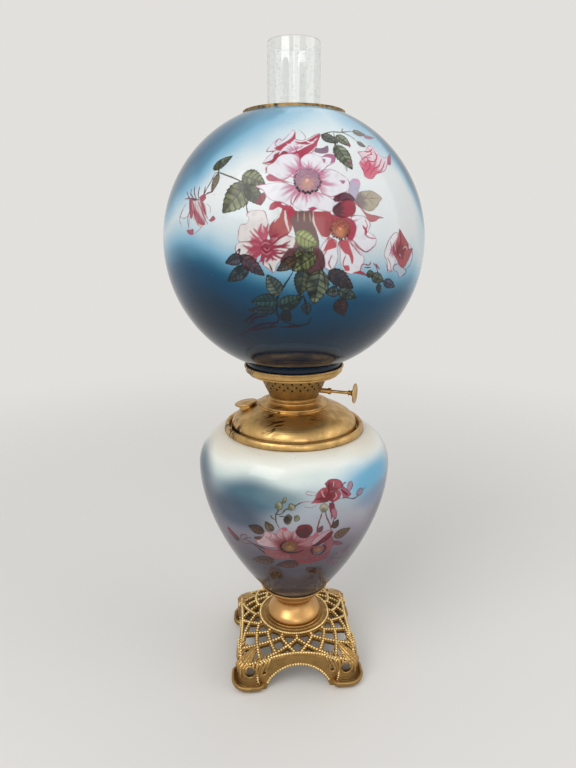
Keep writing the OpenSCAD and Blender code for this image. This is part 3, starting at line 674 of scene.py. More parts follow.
def shade_spray(brush):
    """The large spray of wild roses on the shade, in millimetres from its middle."""
    rose_pen = (150, 52, 78)
    white, warm_white = (226, 224, 230), (218, 212, 210)
    pink, mauve = (190, 118, 146), (168, 104, 138)
    crimson, deep, wine = (166, 58, 80), (128, 32, 50), (82, 28, 42)
    red = (160, 62, 70)
    # Stems go first, under the leaves
    brush.pens((84, 84, 62), 1.5, (-38, 42, -46, 47, -56, 52, -64, 56, -70, 57), (-66, 56, -66, 62),
        (36, 95, 36, 84, 35, 72, 34, 62), (24, 90, 34, 95, 44, 97, 56, 102))
    brush.pens((92, 66, 70), 1.2, (-70, 57, -73, 50, -78, 42, -80, 36), (44, 97, 52, 94, 60, 88),
        (44, 96, 46, 103), (-38, 32, -38, 24, -36, 16), (50, -28, 60, -30, 70, -33, 78, -37))
    brush.pens((16, 28, 32), 2.0, (-1, -27, -8, -38, -13, -46, -15, -58, -14, -70, -24, -77),
        (8, -46, 10, -54, 12, -64), (-14, -66, -6, -72, 4, -75, 12, -73, 15, -67))
    brush.pens((34, 18, 30), 2.4, (-14, -72, -26, -74, -38, -80, -53, -91),
        (-24, -66, -34, -68, -42, -77), (-14, -76, -28, -79, -40, -84), (-12, -77, 0, -76, 8, -75),
        (-30, -62, -38, -67, -46, -75))
    # Leaves at the left
    fresh, shade = (142, 146, 96), (64, 66, 42)
    brush.leaves(PINE, (-37, 43, 225, 32, 23, fresh, shade), (-43, 51, 336, 22, 16, fresh, shade),
        (-39, 42, 308, 22, 13, (96, 100, 66), (48, 46, 34)))
    brush.patches((128, 52, 66), (-31, 27, -25, 35, -22, 31, -26, 25))
    brush.leaves(PINE, (-73, 61, 28, 22, 10, (104, 110, 72), (52, 60, 40)),
        (-70, 60, 62, 10, 6, (104, 110, 72), (52, 60, 40)))
    brush.leaf(-66, 56, 252, 18, 7, (148, 142, 112), (92, 88, 66), pen=BARK)
    # Frayed blossom at the far left
    brush.pens((104, 62, 80), 1.5, (-88, 34, -98, 38, -104, 46), (-90, 35, -97, 42, -97, 47),
        (-88, 35, -92, 42, -93, 49), (-86, 35, -87, 41, -86, 47), (-82, 34, -80, 40, -79, 46),
        (-84, 34, -94, 37, -106, 39), (-80, 36, -76, 39, -70, 40))
    brush.patches((206, 190, 190), (-98, 38, -92, 34, -82, 34, -76, 26, -77, 14, -84, 10, -92, 18,
        -97, 26))
    brush.patches((158, 82, 96), (-99, 38, -94, 36, -91, 26, -94, 18, -97, 24),
        (-90, 34, -88, 26, -80, 18, -77, 12, -84, 13, -90, 20), (-84, 33, -79, 30, -76, 20,
        -80, 24), (-101, 9, -96, 9, -91, 9, -92, 4, -98, 5), (-73, 15, -69, 19, -66, 16, -70, 14),
        (-86, 37, -80, 39, -77, 35, -82, 32))
    brush.pens((198, 150, 156), 1.0, (-94, 33, -91, 24, -86, 16), (-88, 30, -84, 22, -79, 15))
    brush.pens((138, 60, 80), 1.2, (-97, 36, -96, 28, -99, 20, -98, 12), (-86, 33, -82, 26, -78, 18,
        -74, 12), (-92, 32, -90, 22, -85, 12), (-103, 34, -108, 28, -112, 20, -108, 12))
    brush.pens(rose_pen, 0.7, (-96, 22, -97, 14, -98, 8), (-92, 4, -86, 7, -80, 11),
        (-111, 22, -104, 20, -97, 22), (-78, 26, -75, 18, -71, 14), (-76, 30, -72, 26, -72, 20))
    # Ruffled blossom behind the main rose
    brush.shape((-26, 60, -22, 66, -17, 71, -23, 71, -20, 77, -13, 84, -10, 82, -5, 88, -1, 94,
        1, 92, 1, 84, 6, 82, 12, 84, 21, 91, 23, 89, 20, 80, 17, 72, 6, 63, -2, 68, -12, 64,
        -20, 59), (216, 214, 222), pink, (4, 66), 10, pen=rose_pen)
    brush.patches(crimson, (-17, 74, -9, 79, -2, 85, 1, 92, 1, 84, -5, 77, -11, 71),
        (0, 81, 6, 80, 13, 83, 21, 90, 23, 89, 21, 82, 17, 74, 12, 69, 6, 63, 3, 68, -1, 68, 6, 73,
        12, 77, 4, 78))
    brush.patches((146, 42, 62), (-26, 60, -18, 63, -16, 68, -8, 71, -5, 68, -10, 64, -15, 60),
        (-19, 58, -14, 60, -14, 56))
    brush.pens((222, 214, 220), 1.3, (-2, 70, 4, 72, 10, 76, 17, 80), (-12, 68, -8, 74, 0, 80),
        (-6, 78, 0, 76, 8, 77), (9, 82, 15, 80, 20, 85))
    brush.pens(rose_pen, 0.7, (4, 95, 8, 90, 10, 86, 8, 82), (-13, 84, -16, 78, -12, 74),
        (-23, 71, -17, 71, -10, 76), (-2, 66, 2, 70, 0, 76))
    brush.patches((128, 98, 118), (17, 70, 18, 74, 24, 75, 29, 78, 29, 71, 23, 69))
    # Leaves and buds at the top right
    soft_green, soft_dark = (146, 156, 122), (66, 72, 58)
    brush.leaves(PINE, (24, 90, 332, 17, 11, (104, 108, 92), (58, 58, 52)),
        (38, 92, 318, 17, 11, soft_green, soft_dark), (36, 80, 300, 27, 15, soft_green, soft_dark))
    brush.leaves(BARK, (56, 101, 8, 16, 9, (120, 122, 110), (76, 76, 74)),
        (58, 88, 340, 10, 6, (150, 148, 136), (96, 90, 86)))
    brush.patches((142, 84, 104), (68, 101, 76, 104, 84, 105, 77, 99, 70, 97),
        (47, 84, 51, 83, 49, 79), (46, 64, 50, 66, 48, 61))
    brush.patches((182, 168, 178), (42, 60, 45, 58, 44, 54))
    # Small blossom at the right
    brush.shape((57, 76, 60, 70, 57, 64, 60, 57, 61, 52, 68, 51, 73, 56, 80, 60, 86, 64, 90, 71,
        96, 74, 100, 87, 92, 80, 84, 79, 80, 84, 72, 88, 66, 80, 62, 78), (226, 206, 216),
        (204, 92, 118), (67, 58), 12, pen=rose_pen)
    brush.patches((160, 72, 102), (90, 72, 94, 82, 101, 89, 98, 79, 94, 72))
    brush.pens((190, 70, 98), 1.3, (62, 56, 68, 64, 66, 72), (66, 54, 72, 62, 78, 66, 84, 76),
        (62, 62, 66, 68, 74, 70, 80, 80), (70, 84, 72, 78, 66, 74), (76, 84, 78, 76, 74, 70),
        (60, 68, 64, 72, 70, 73), (72, 57, 80, 62, 88, 74), (64, 78, 70, 80, 76, 86))
    # Smoke-coloured leaves by the dark bud
    brush.shape((44, 34, 45, 42, 48, 48, 54, 49, 56, 45, 54, 38, 53, 29, 48, 31), (176, 168, 190),
        (204, 150, 182), (54, 50), 6)
    brush.shape((50, 30, 54, 37, 60, 39, 66, 40, 72, 38, 77, 35, 74, 31, 71, 27, 66, 23, 59, 23,
        52, 26), (172, 160, 140), (122, 112, 112), (52, 30), 9, pen=(142, 128, 108))
    brush.pens((140, 124, 104), 0.7, (54, 31, 62, 33, 73, 34), (60, 33, 64, 38), (62, 33, 68, 28),
        (58, 32, 60, 26))
    brush.shape((49, 29, 54, 25, 59, 19, 64, 14, 70, 15, 73, 17, 78, 18, 70, 19, 62, 20, 56, 24,
        52, 29), (176, 98, 100), pen=rose_pen)
    # Dark ground between the flowers
    brush.shape((-4, 22, 4, 20, 14, 21, 15, 12, 18, 4, 20, -4, 19, -14, 12, -22, 2, -20, -2, -12,
        1, -2, -1, 8, -5, 14), (96, 50, 50), strength=0.92)
    brush.pens((168, 138, 118), 1.1, (3, 19, 3, 12), (8, 19, 8, 12), (12, 19, 13, 12))
    # Lower right rose
    brush.shape((48, 12, 46, 16, 50, 18, 57, 18, 63, 14, 64, 10, 62, 6, 67, 3, 70, 0, 69, -6,
        61, -11, 54, -7, 49, -3, 44, 0), white, crimson, (37, 8), 11, pen=rose_pen)
    brush.shape((44, -1, 50, -6, 56, -12, 59, -17, 57, -23, 55, -27, 48, -29, 42, -27, 38, -20,
        37, -10, 36, -3), white, crimson, (37, 8), 11, pen=rose_pen)
    brush.shape((31, -1, 27, 0, 22, -6, 19, -14, 22, -20, 27, -25, 31, -25, 35, -18, 35, -10,
        34, -3), white, red, (36, 8), 12, pen=rose_pen)
    brush.patches((184, 78, 88), (36, -3, 43, -2, 46, -8, 49, -16, 48, -21, 45, -14, 41, -12,
        37, -7), (23, -11, 25, -6, 28, -1, 32, -2, 34, -7, 29, -9), (41, -22, 45, -22, 46, -26,
        42, -26))
    brush.patches(red, (15, 20, 16, 12, 18, 7, 22, 1, 28, 1, 30, 8, 31, 15, 28, 20, 21, 20))
    brush.pens((220, 190, 186), 0.9, (15, 19, 15, 12, 18, 6, 22, 0, 26, -2))
    brush.patches(crimson, (30, 18, 36, 17, 43, 16, 48, 14, 51, 9, 50, 3, 47, -2, 42, 0, 31, 8))
    brush.pens(crimson, 1.1, (59, 15, 61, 10, 59, 5, 62, 1, 70, 0), (45, 1, 50, -4, 54, -8, 61, -11,
        70, -5), (44, -2, 50, -8, 56, -14), (30, -14, 28, -20, 30, -24), (26, -10, 23, -16,
        25, -22), (42, -14, 40, -20, 42, -25), (56, -27, 57, -22, 60, -21))
    brush.pens(crimson, 2.2, (57, 10, 60, 6, 59, 3), (50, -28, 57, -28, 62, -30))
    brush.heart(37, 7, 8.4, (150, 84, 72), 22, (196, 130, 96))
    # Lower left rose
    brush.shape((-21, 2, -30, -2, -44, -3, -45, 3, -43, 10, -38, 11, -36, 15, -38, 18, -34, 21,
        -28, 21, -23, 20, -21, 14, -19, 7), warm_white, (186, 96, 112), (-22, -6), 12, pen=rose_pen)
    brush.shape((-24, -4, -36, -3, -45, -4, -48, -8, -46, -13, -38, -14, -28, -14),
        warm_white, (176, 84, 100), (-22, -8), 15, pen=rose_pen)
    brush.shape((-18, -2, -10, 3, -4, 1, 1, -1, -1, -9, -6, -13, -12, -10, -18, -9),
        warm_white, crimson, (-22, -6), 8, pen=rose_pen)
    brush.shape((-18, -14, -12, -10, -6, -12, -3, -17, -12, -19, -16, -27, -21, -24, -25, -20),
        warm_white, crimson, (-22, -8), 9, pen=rose_pen)
    brush.shape((-20, 3, -18, 10, -11, 17, -8, 22, -3, 14, -2, 6, -8, 1, -18, 0), (170, 84, 84),
        (150, 52, 62), (-20, -2), 10, pen=rose_pen)
    brush.patches((172, 58, 78), (-20, 21, -18, 26, -11, 29, -9, 25, -2, 24, 1, 19, -3, 15, -7, 20,
        -12, 23, -16, 21))
    brush.pens(warm_white, 1.8, (-7, 20, -6, 12, -4, 5), (-13, 22, -12, 17, -15, 12))
    brush.wisps(-22, -6, 128, 92, 18, 9, (176, 84, 104), 1.9, 21)
    brush.wisps(-22, -8, 200, 80, 19, 9, (160, 66, 86), 2.2, 22)
    brush.wisps(-21, -8, 10, 80, 19, 9, (138, 44, 66), 1.5, 23)
    brush.wisps(-22, -8, 290, 90, 13, 8, (150, 56, 76), 2.2, 24)
    brush.shape((-27, -5, -22, -1, -17, -4, -16, -11, -20, -16, -26, -13), (150, 56, 74),
        deep, (-22, -9), 4)
    brush.pens((196, 122, 138), 0.8, (-26, -6, -23, -4, -19, -5), (-26, -10, -22, -13, -18, -11),
        (-24, -8, -21, -10, -19, -8))
    # Main rose, petal by petal
    core = (10.5, 44.5)
    for outline, reach in (((0, 40, -10, 43, -20, 42, -31, 40.5, -25, 37, -21, 31, -16, 28, -10, 27,
            -3, 24, -2, 29, 4, 36), 18), ((2, 52, -8, 45, -20, 50, -23, 56, -17, 60, -12, 66,
            -4, 68, 3, 66, 6, 60, 6, 55), 18), ((6, 55, 5, 62, 9, 67, 16, 69, 22, 66, 29, 69,
            34, 67, 33, 61, 28, 58, 24, 54, 20, 51), 14), ((20, 51, 24, 54, 31, 55, 38, 52, 44, 48,
            46, 43, 44, 38, 38, 35, 31, 32, 25, 33, 20, 38), 17), ((4, 36, -1, 31, -2, 26, 4, 21,
            10, 20, 16, 22, 22, 21, 28, 20, 32, 22, 37, 27, 31, 30, 25, 33, 18, 35), 15)):
        brush.shape(outline, white, pink, core, reach, pen=rose_pen, width=0.5)
    brush.patches(mauve, (22, 65, 27, 69, 34, 69, 34, 63, 30, 60, 31, 65, 26, 66),
        (23, 64, 26, 64, 25, 60), (37, 46, 42, 46, 40, 43))
    brush.patches((168, 66, 96), (-23, 48, -19, 50, -12, 46, -1, 42, -10, 43.5, -20, 44),
        (11, 22, 15, 23.5, 18, 22, 14, 20), (21, 36, 26, 33, 34, 31, 36, 28, 38, 33, 44, 37, 36, 34,
        28, 32))
    brush.pens(rose_pen, 0.8, (-1, 25, 2, 31, 6, 36), (5, 64, 5, 56), (-22, 57, -23, 50),
        (24, 53, 21, 50))
    brush.wisps(10.5, 44.5, 270, 90, 17, 9, (206, 136, 164), 1.0, 27)
    brush.wisps(10.5, 44.5, 90, 150, 15, 12, (198, 128, 160), 1.4, 28)
    brush.heart(10.5, 44.5, 11.0, (160, 122, 142), 32, (190, 146, 132))
    # Dark bud above the lower right rose
    brush.shape((35, 27, 40, 30, 46, 31, 50, 27, 50, 21, 46, 17, 38, 16, 32, 18, 31, 23),
        (152, 42, 62), wine, (32, 22), 8, pen=wine)
    brush.shape((31, 30, 36, 34, 42, 36, 47, 34, 50, 30, 44, 30, 38, 29, 33, 28), (88, 40, 58),
        pen=wine)
    # Leaves under the flowers
    ink = (24, 26, 22)
    brush.patches((84, 38, 44), (-4, -8, 8, -8, 21, -9, 25, -22, 16, -30, 2, -24, -11, -19))
    for x, y, turn, length, width, light, dark in ((15, -7, 205, 17, 12, (134, 142, 86),
            (46, 44, 28)), (17, -13, 214, 23, 14, (134, 144, 92), (40, 42, 28)),
            (8, -24, 262, 23, 14, (88, 94, 60), (30, 32, 22)), (2, -16, 212, 19, 10, (98, 78, 52),
            (52, 36, 30)), (21, -25, 262, 30, 20, (128, 138, 106), (24, 26, 20)),
            (-12, -46, 120, 20, 14, (112, 124, 110), (40, 50, 46)), (-37, -23, 212, 24, 12, (72, 80,
            84), (22, 26, 28)), (-42, -15, 198, 17, 10, (86, 74, 86), (40, 34, 42)),
            (-44, -14, 322, 26, 12, (106, 62, 74), (58, 32, 42)), (-14, -51, 184, 23, 14, (46, 84,
            84), (22, 48, 52)), (-15, -60, 182, 26, 9, (40, 66, 74), (24, 42, 50)),
            (-13, -57, 26, 23, 14, (54, 84, 74), (20, 36, 34)), (-10, -60, 304, 13, 10, (36, 40,
            44), (20, 24, 28)), (10, -52, 278, 13, 9, (42, 70, 88), (26, 42, 56)),
            (28, -26, 326, 28, 14, (78, 52, 54), (44, 24, 30)), (38, -43, 186, 12, 10, (92, 98, 94),
            (46, 46, 50)), (37, -42, 334, 20, 11, (84, 98, 88), (38, 46, 46)),
            (38, -50, 292, 19, 14, (76, 46, 50), (38, 24, 28)), (62, -29, 350, 10, 7, (110, 112,
            84), (56, 56, 44)), (68, -31, 336, 16, 10, (116, 122, 92), (48, 52, 42)),
            (82, -37, 336, 19, 9, (96, 98, 124), (44, 44, 66)), (76, -39, 290, 11, 6, (70, 80, 92),
            (40, 46, 58))):
        brush.leaf(x, y, turn, length, width, light, dark, pen=ink)
    brush.leaf(1, 3, 335, 20, 13, (176, 184, 128), (142, 150, 96), pen=(96, 104, 60), bend=-0.1)
    brush.pens((64, 36, 44), 1.3, (-48, -12, -44, -9, -46, -16), (-20, -20, -17, -27),
        (20, -20, 24, -28, 26, -40))
    brush.pens((130, 44, 60), 1.3, (59, -21, 64, -22, 66, -19), (68, -20, 72, -24, 75, -30),
        (60, -24, 66, -24), (71, -21, 76, -26))
    # Rosebud at the far right
    brush.shape((84, -1, 90, 5, 95, 6, 93, -2, 90, -8, 92, -14, 94, -20, 91, -27, 86, -29, 84, -20,
        80, -14, 81, -8), (224, 222, 226), pink, (92, -10), 5, pen=rose_pen)
    brush.shape((92, -24, 98, -22, 106, -26, 112, -29, 108, -34, 103, -35, 99, -30, 94, -28),
        (178, 190, 204), pen=(88, 74, 96))
    brush.shape((98, 10, 95, 2, 90, -5, 91, -12, 96, -18, 101, -24, 108, -26, 114, -20, 118, -14,
        121, -8, 114, -8, 112, -3, 105, 3), (166, 72, 78), (126, 38, 50), (100, -10),
        7, pen=rose_pen)
    brush.pens((120, 34, 50), 1.2, (98, 8, 100, -2, 96, -10), (112, -4, 106, -10, 104, -20),
        (90, -6, 96, -10, 101, -18))
    brush.pens((222, 190, 196), 0.9, (96, 4, 92, -4, 94, -10), (111, -9, 108, -6, 104, -8),
        (99, -13, 101, -15))
    brush.pens((110, 48, 70), 1.1, (113, -3, 119, -8, 122, -16, 119, -24, 113, -28),
        (106, -35, 113, -32, 112, -27))
    brush.pens(rose_pen, 0.8, (84, -16, 88, -22, 90, -28), (82, -20, 86, -27, 92, -29),
        (86, -2, 88, -8, 86, -14))


def shade_spray_behind(brush):
    """The same spray, smaller and mirrored, for the other side of the shade."""
    brush.x, brush.y = -brush.x * 1.35, brush.y * 1.35 + 6
    shade_spray(brush)


def vase_spray(brush):
    """The smaller spray on the vase, in millimetres from its middle."""
    wine, plum_pen, twig = (98, 10, 26), (92, 42, 60), (74, 68, 50)
    dusty, rose_dark, dark = (184, 154, 158), (122, 46, 58), (40, 10, 14)
    brown, brown_dark = (92, 60, 34), (46, 30, 18)
    # Stems and twigs
    brush.pens(twig, 1.7, (-14, 24, -17, 32, -17, 40, -14, 46, -11, 52, -8, 58),
        (-17, 40, -12, 41, -8, 46, -2, 48, 4, 52, 8, 54), (-14, 38, -9, 38, -5, 36),
        (-18, 34, -21, 36, -22, 39))
    brush.pens((118, 60, 66), 1.8, (27, 42, 25, 34, 23, 26, 22, 19), (30, 42, 32, 34, 35, 26,
        37, 18))
    brush.pens((104, 54, 68), 1.5, (44, 53, 52, 52, 60, 49, 66, 50, 71, 54, 77, 56),
        (34, 46, 36, 38, 37, 30), (47, 60, 48, 66, 52, 68), (40, 34, 38, 26, 36, 20))
    brush.pens((96, 64, 62), 2.2, (-59, -3, -50, 0, -44, -2, -38, -6, -30, -13, -22, -18))
    brush.pens((84, 66, 58), 1.6, (-58, -1, -54, 6, -48, 7), (-52, 1, -48, 4, -43, 5),
        (-58, -5, -50, -6, -44, -4))
    brush.pens(dark, 2.2, (-41, -3, -34, -5, -29, -8, -26, -12), (-36, -8, -30, -13, -21, -17))
    brush.pens((74, 50, 46), 1.4, (-29, -34, -31, -44, -32, -54, -34, -62),
        (-17, -34, -22, -40, -26, -47, -25, -56), (-24, -33, -21, -42, -18, -50))
    # Twig buds
    for outline in ((-18, 48, -16, 53, -12, 53, -11, 48, -14, 45), (-6, 46, -4, 52, 0, 51, 1, 47,
            -2, 45), (0, 39, 4, 40, 5, 35, 1, 33), (-12, 52, -10, 57, -7, 59, -8, 54)):
        brush.shape(outline, (150, 150, 126), (96, 98, 68), (outline[0], outline[1]),
            5, pen=twig, width=1.2)
    brush.shape((-10, 35, -6, 41, -2, 38, -3, 32, -6, 29, -9, 31), (92, 84, 56),
        brown_dark, (-7, 35), 4, pen=brown_dark, width=1.0)
    brush.shape((24, 46, 26, 50, 30, 50, 33, 46, 31, 42, 27, 41), (168, 158, 136), (110, 104, 78),
        (28, 42), 4, pen=twig)
    brush.shape((52, 59, 54, 66, 58, 67, 59, 62, 55, 58), (166, 128, 142), pen=plum_pen, width=1.0)
    brush.shape((64, 52, 66, 57, 71, 57, 73, 53, 69, 50), (140, 128, 146), pen=plum_pen, width=1.0)
    brush.shape((-59, -6, -60, -1, -66, 4, -73, 8, -75, 4, -69, -4, -63, -8), wine, dark, (-60, -5),
        5, pen=dark)
    # Leaves behind the flowers
    brush.leaves(brown_dark, (-29, 17, 166, 18, 13, brown, brown_dark), (-21, 19, 118, 14, 9,
        (112, 104, 74), brown), (-28, 6, 176, 13, 8, (124, 74, 66), brown),
        (39, 19, 66, 12, 8, brown, brown_dark), (40, 7, 18, 21, 13, (112, 82, 54), brown))
    brush.leaves(plum_pen, (23, 17, 60, 10, 6, (120, 66, 74), brown), (39, 1, 326, 16, 6, (120, 62,
        72), rose_dark))
    brush.leaves(dark, (-20, -22, 203, 28, 15, brown, brown_dark), (6, -25, 196, 26, 14, (92, 50,
        38), (58, 30, 26)), (13, -35, 308, 17, 10, (78, 36, 36), dark))
    brush.leaf(-15, -44, 246, 20, 12, (72, 62, 42), brown_dark, pen=dark, strength=0.85)
    brush.patches((118, 46, 54), (0, -19, 10, -19, 20, -18, 30, -20, 26, -26, 16, -28, 6, -27))
    # Blossom at the top, past its best
    petal, petal_dark = (158, 70, 80), (112, 28, 40)
    brush.shape((34, 50, 38, 50, 40, 44, 42, 38, 41, 31, 38, 34, 36, 40, 34, 45), (164, 96, 112),
        petal_dark, (36, 48), 6, pen=plum_pen)
    for outline, core in (((16, 52, 20, 57, 22, 62, 27, 66, 32, 65, 36, 58, 32, 52, 24, 52),
            (31, 55)), ((29, 70, 34, 73, 42, 72, 47, 68, 45, 63, 38, 62, 33, 63), (34, 63)),
            ((35, 61, 42, 62, 46, 58, 44, 53, 38, 51, 33, 54), (34, 58))):
        brush.shape(outline, petal, petal_dark, core, 8, pen=petal_dark)
    brush.shape((46, 66, 50, 63, 55, 58, 57, 54, 50, 52, 47, 57), (158, 80, 100), pen=plum_pen)
    brush.pens(petal_dark, 2.0, (33, 71, 33, 62, 30, 53), (20, 55, 26, 56, 31, 54),
        (45, 62, 50, 58, 54, 54))
    brush.pens((212, 150, 160), 1.0, (26, 64, 27, 60, 29, 57), (38, 71, 38, 66),
        (40, 60, 41, 56, 38, 53))
    brush.pens((170, 96, 112), 0.9, (21, 62, 13, 64, 11, 62, 16, 60, 22, 60),
        (20, 53, 12, 54, 6, 53), (23, 51, 18, 48, 12, 48, 9, 50))
    # The large flower
    middle = (-4, -1)
    brush.shape((-16, -2, -14, 9, -4, 12, 8, 9, 18, 4, 24, -2, 14, -10, -4, -12, -16, -9),
        (122, 58, 64), rose_dark, middle, 14)
    for outline, body, reach in (((-14, 8, -16, 14, -20, 17, -28, 18, -30, 12, -34, 6, -38, 4,
            -36, -1, -30, -3, -20, -3, -14, -1), dusty, 17), ((-16, 12, -17, 18, -12, 24, -6, 22,
            -2, 20, 2, 22, 3, 14, 0, 7, -8, 8), (174, 136, 142), 15), ((2, 14, 6, 13, 12, 12,
            18, 14, 21, 8, 19, 2, 12, -1, 4, 0, 0, 6), (156, 106, 110), 13),
            ((-29, -6, -20, -6, -12, -8, -6, -10, -3, -17, -14, -20, -24, -18, -30, -12),
            (132, 78, 82), 13), ((-3, -9, 6, -7, 14, -4, 21, -6, 21, -14, 10, -18, -1, -19,
            -4, -15), (112, 56, 62), 13)):
        brush.shape(outline, body, rose_dark, middle, reach, pen=rose_dark)
    brush.pens(rose_dark, 0.9, (-4, -9, -3, -14, -4, -18), (-14, 2, -22, 6, -28, 12),
        (-8, 8, -10, 14, -11, 20), (4, 4, 9, 7, 14, 11), (-12, -8, -18, -12, -24, -14),
        (6, -8, 10, -12, 14, -16), (-24, 10, -22, 14, -24, 17))
    brush.heart(-4, 0, 8.2, (108, 72, 46), 22, (134, 98, 60))
    brush.pens(dark, 2.4, (-8, 8, -12, 4, -13, -2, -10, -7, -4, -9, 4, -8, 9, -5))
    brush.shape((2, 22, 4, 27, 9, 29, 15, 28, 18, 22, 16, 16, 12, 12, 6, 13, 2, 18), (112, 12, 28),
        (70, 8, 18), (9, 18), 8, pen=dark)
    brush.patches((168, 84, 100), (-12, 25, -9, 26, -6, 24, -8, 21, -11, 22),
        (18, 14, 21, 18, 24, 15, 21, 9))
    # Its neighbour at the right
    brush.shape((17, 5, 22, 12, 30, 18, 38, 17, 34, 10, 26, 4, 20, 0), (172, 136, 146),
        pen=rose_dark)
    brush.shape((30, 4, 36, 12, 40, 4, 40, -4, 37, -11, 32, -15, 30, -6), (128, 70, 80),
        rose_dark, (25, -7), 9, pen=plum_pen)
    brush.shape((16, -15, 24, -17, 34, -14, 37, -13, 33, -23, 24, -26, 14, -21), (108, 44, 56),
        rose_dark, (24, -8), 12, pen=plum_pen)
    brush.shape((18, 0, 24, 5, 30, 11, 36, 16, 39, 14, 35, 7, 28, 2, 22, -1), wine, dark, (20, 0),
        6, pen=dark)
    brush.heart(24, -6, 5.6, (124, 68, 62), 16, (134, 92, 62))
    brush.pens(dark, 2.3, (28, 0, 31, -4, 31, -9, 27, -14, 21, -15), (18, -2, 17, -8, 19, -13))
    # Trailing pen work at the right
    brush.pens(plum_pen, 1.5, (32, -24, 40, -25, 48, -29, 55, -25, 61, -17, 64, -12),
        (34, -30, 40, -33, 44, -40, 50, -46), (46, -29, 52, -33, 60, -34, 68, -38),
        (38, -25, 41, -20, 46, -20, 44, -26), (52, -27, 55, -22, 60, -24, 57, -28))
    brush.patches((92, 50, 70), (34, -28, 40, -27, 44, -32, 40, -36, 34, -33),
        (44, -38, 50, -42, 48, -48, 42, -44), (50, -22, 57, -19, 60, -14, 54, -17))


# ---- sprayed colour ----

def drift(points, size, seed):
    """Smooth unevenness between about -1 and 1 over points in space."""
    rng = np.random.default_rng(seed)
    total = np.zeros(len(points))
    for _ in range(9):
        ahead = rng.normal(size=3)
        ahead *= FULL_TURN / (size * rng.uniform(0.7, 1.7) * np.linalg.norm(ahead))
        total += np.sin(points @ ahead + rng.uniform(0, FULL_TURN))
    return total / 3.2


def blended(places, stops, colours):
    """Colours read off between stops, blended as the eye sees them."""
    tones = np.array(colours) ** 0.4545
    return np.stack([np.interp(places, stops, tones[:, i]) for i in range(3)], -1) ** 2.2


def shade_sprayed(points, glass, centre_z):
    """The shade's blue: a band at its foot, one round its shoulder and a veil at its sides.
    The foot band's darkest coat is partly painted shade, and the shoulder band is deepened
    towards the sides as painted shade and painted reflection.
    """
    local = points - np.array([0, 0, centre_z])
    side = np.sin(np.arctan2(local[:, 1], local[:, 0]) - FRONT)      # -1 left, 1 right
    t = local[:, 2] / glass.shade_r + 0.022 * drift(points, 75, 3) + 0.008 * drift(points, 22, 4)
    # The band at the foot, deepest at the bottom: partly sprayed paint, partly painted shade under
    # the ball
    low = np.interp(t + np.interp(side, [-0.55, -0.1, 0.6], [-0.18, 0.0, 0.02]),
                    [-1, -0.75, -0.57, -0.42, -0.30, -0.22, -0.15, -0.08, 0.02, 0.12],
                    [3.0, 2.9, 2.7, 2.15, 1.85, 1.35, 0.85, 0.38, 0.1, 0.0])
    shoulder = np.interp(side, [-1, -0.87, -0.7, -0.59, -0.5, -0.36, 0, 0.4, 0.79, 0.85, 0.92, 1],
                         [0.08, 0.22, 0.38, 0.54, 0.60, 0.67, 0.78, 0.87, 0.64, 0.45, 0.15, -0.05])
    high = np.interp(t - shoulder, [-0.16, -0.05, 0.05, 0.14, 0.3], [0.0, 0.32, 0.8, 1.15, 1.4])
    # Painted shade and painted reflection: the shoulder's coat grows up to 40% stronger towards the
    # sides, where the ball turns away from the front
    high *= 1 + 0.4 * side ** 2
    edge = np.interp(side, [0.84, 1.0], [0.0, 0.75])
    cloud = np.clip(0.05 * drift(points, 34, 5), 0, 1)
    coat = np.clip(np.maximum(np.maximum(low, high), edge) + cloud, 0, 3)
    return blended(coat, range(4), [glass.pale, glass.sky, glass.teal, glass.slate_and_painted_shade])


def vase_sprayed(points, foot_z):
    """The vase's cream shoulder, its blue clouds and its slate foot; the two dark clouds at its
    sides are partly painted shade.
    """
    height = points[:, 2] - foot_z + 3 * drift(points, 60, 7)
    turned = np.degrees(np.arctan2(points[:, 1], points[:, 0]) - FRONT)
    tones = {0: (60, 68, 76), 30: (60, 62, 72), 70: (72, 66, 78), 100: (118, 108, 122),
             128: (162, 160, 170), 150: (166, 174, 182), 165: (176, 190, 194),
             178: (208, 220, 216), 187: (236, 238, 230), 197: (226, 220, 204)}
    rows = blended(height, list(tones), [srgb(*tone) for tone in tones.values()])
    # Clouds: middle as degrees round from the front and height, then half width and half height
    # The dark clouds at -78 and 78 degrees lie at the vase's sides as the front sees them, and at
    # the same places behind: partly sprayed colour, partly painted shade where the vase turns away
    for at, level, wide, tall, tone, amount in (
            (0, 70, 200, 42, (66, 62, 72), 0.5), (-78, 128, 36, 64, (50, 50, 66), 1.0),
            (28, 172, 20, 14, (222, 230, 228), 0.7), (-24, 158, 29, 22, (66, 102, 120), 0.95),
            (-36, 134, 28, 27, (56, 74, 94), 0.92), (-8, 162, 16, 13, (108, 134, 142), 0.6),
            (78, 118, 34, 58, (68, 66, 88), 0.95), (50, 170, 30, 21, (104, 172, 206), 0.95),
            (-76, 164, 26, 30, (70, 94, 112), 0.9), (54, 148, 22, 14, (112, 138, 168), 0.75)):
        away = abs((turned - at + 180) % 360 - 180)
        away = np.minimum(away, 180 - away)                # the back is sprayed alike
        gap = np.hypot(away / wide, (height - level) / tall)
        rows = mix(rows, srgb(*tone), amount * fade(0.35, 1.15, gap))
    return rows


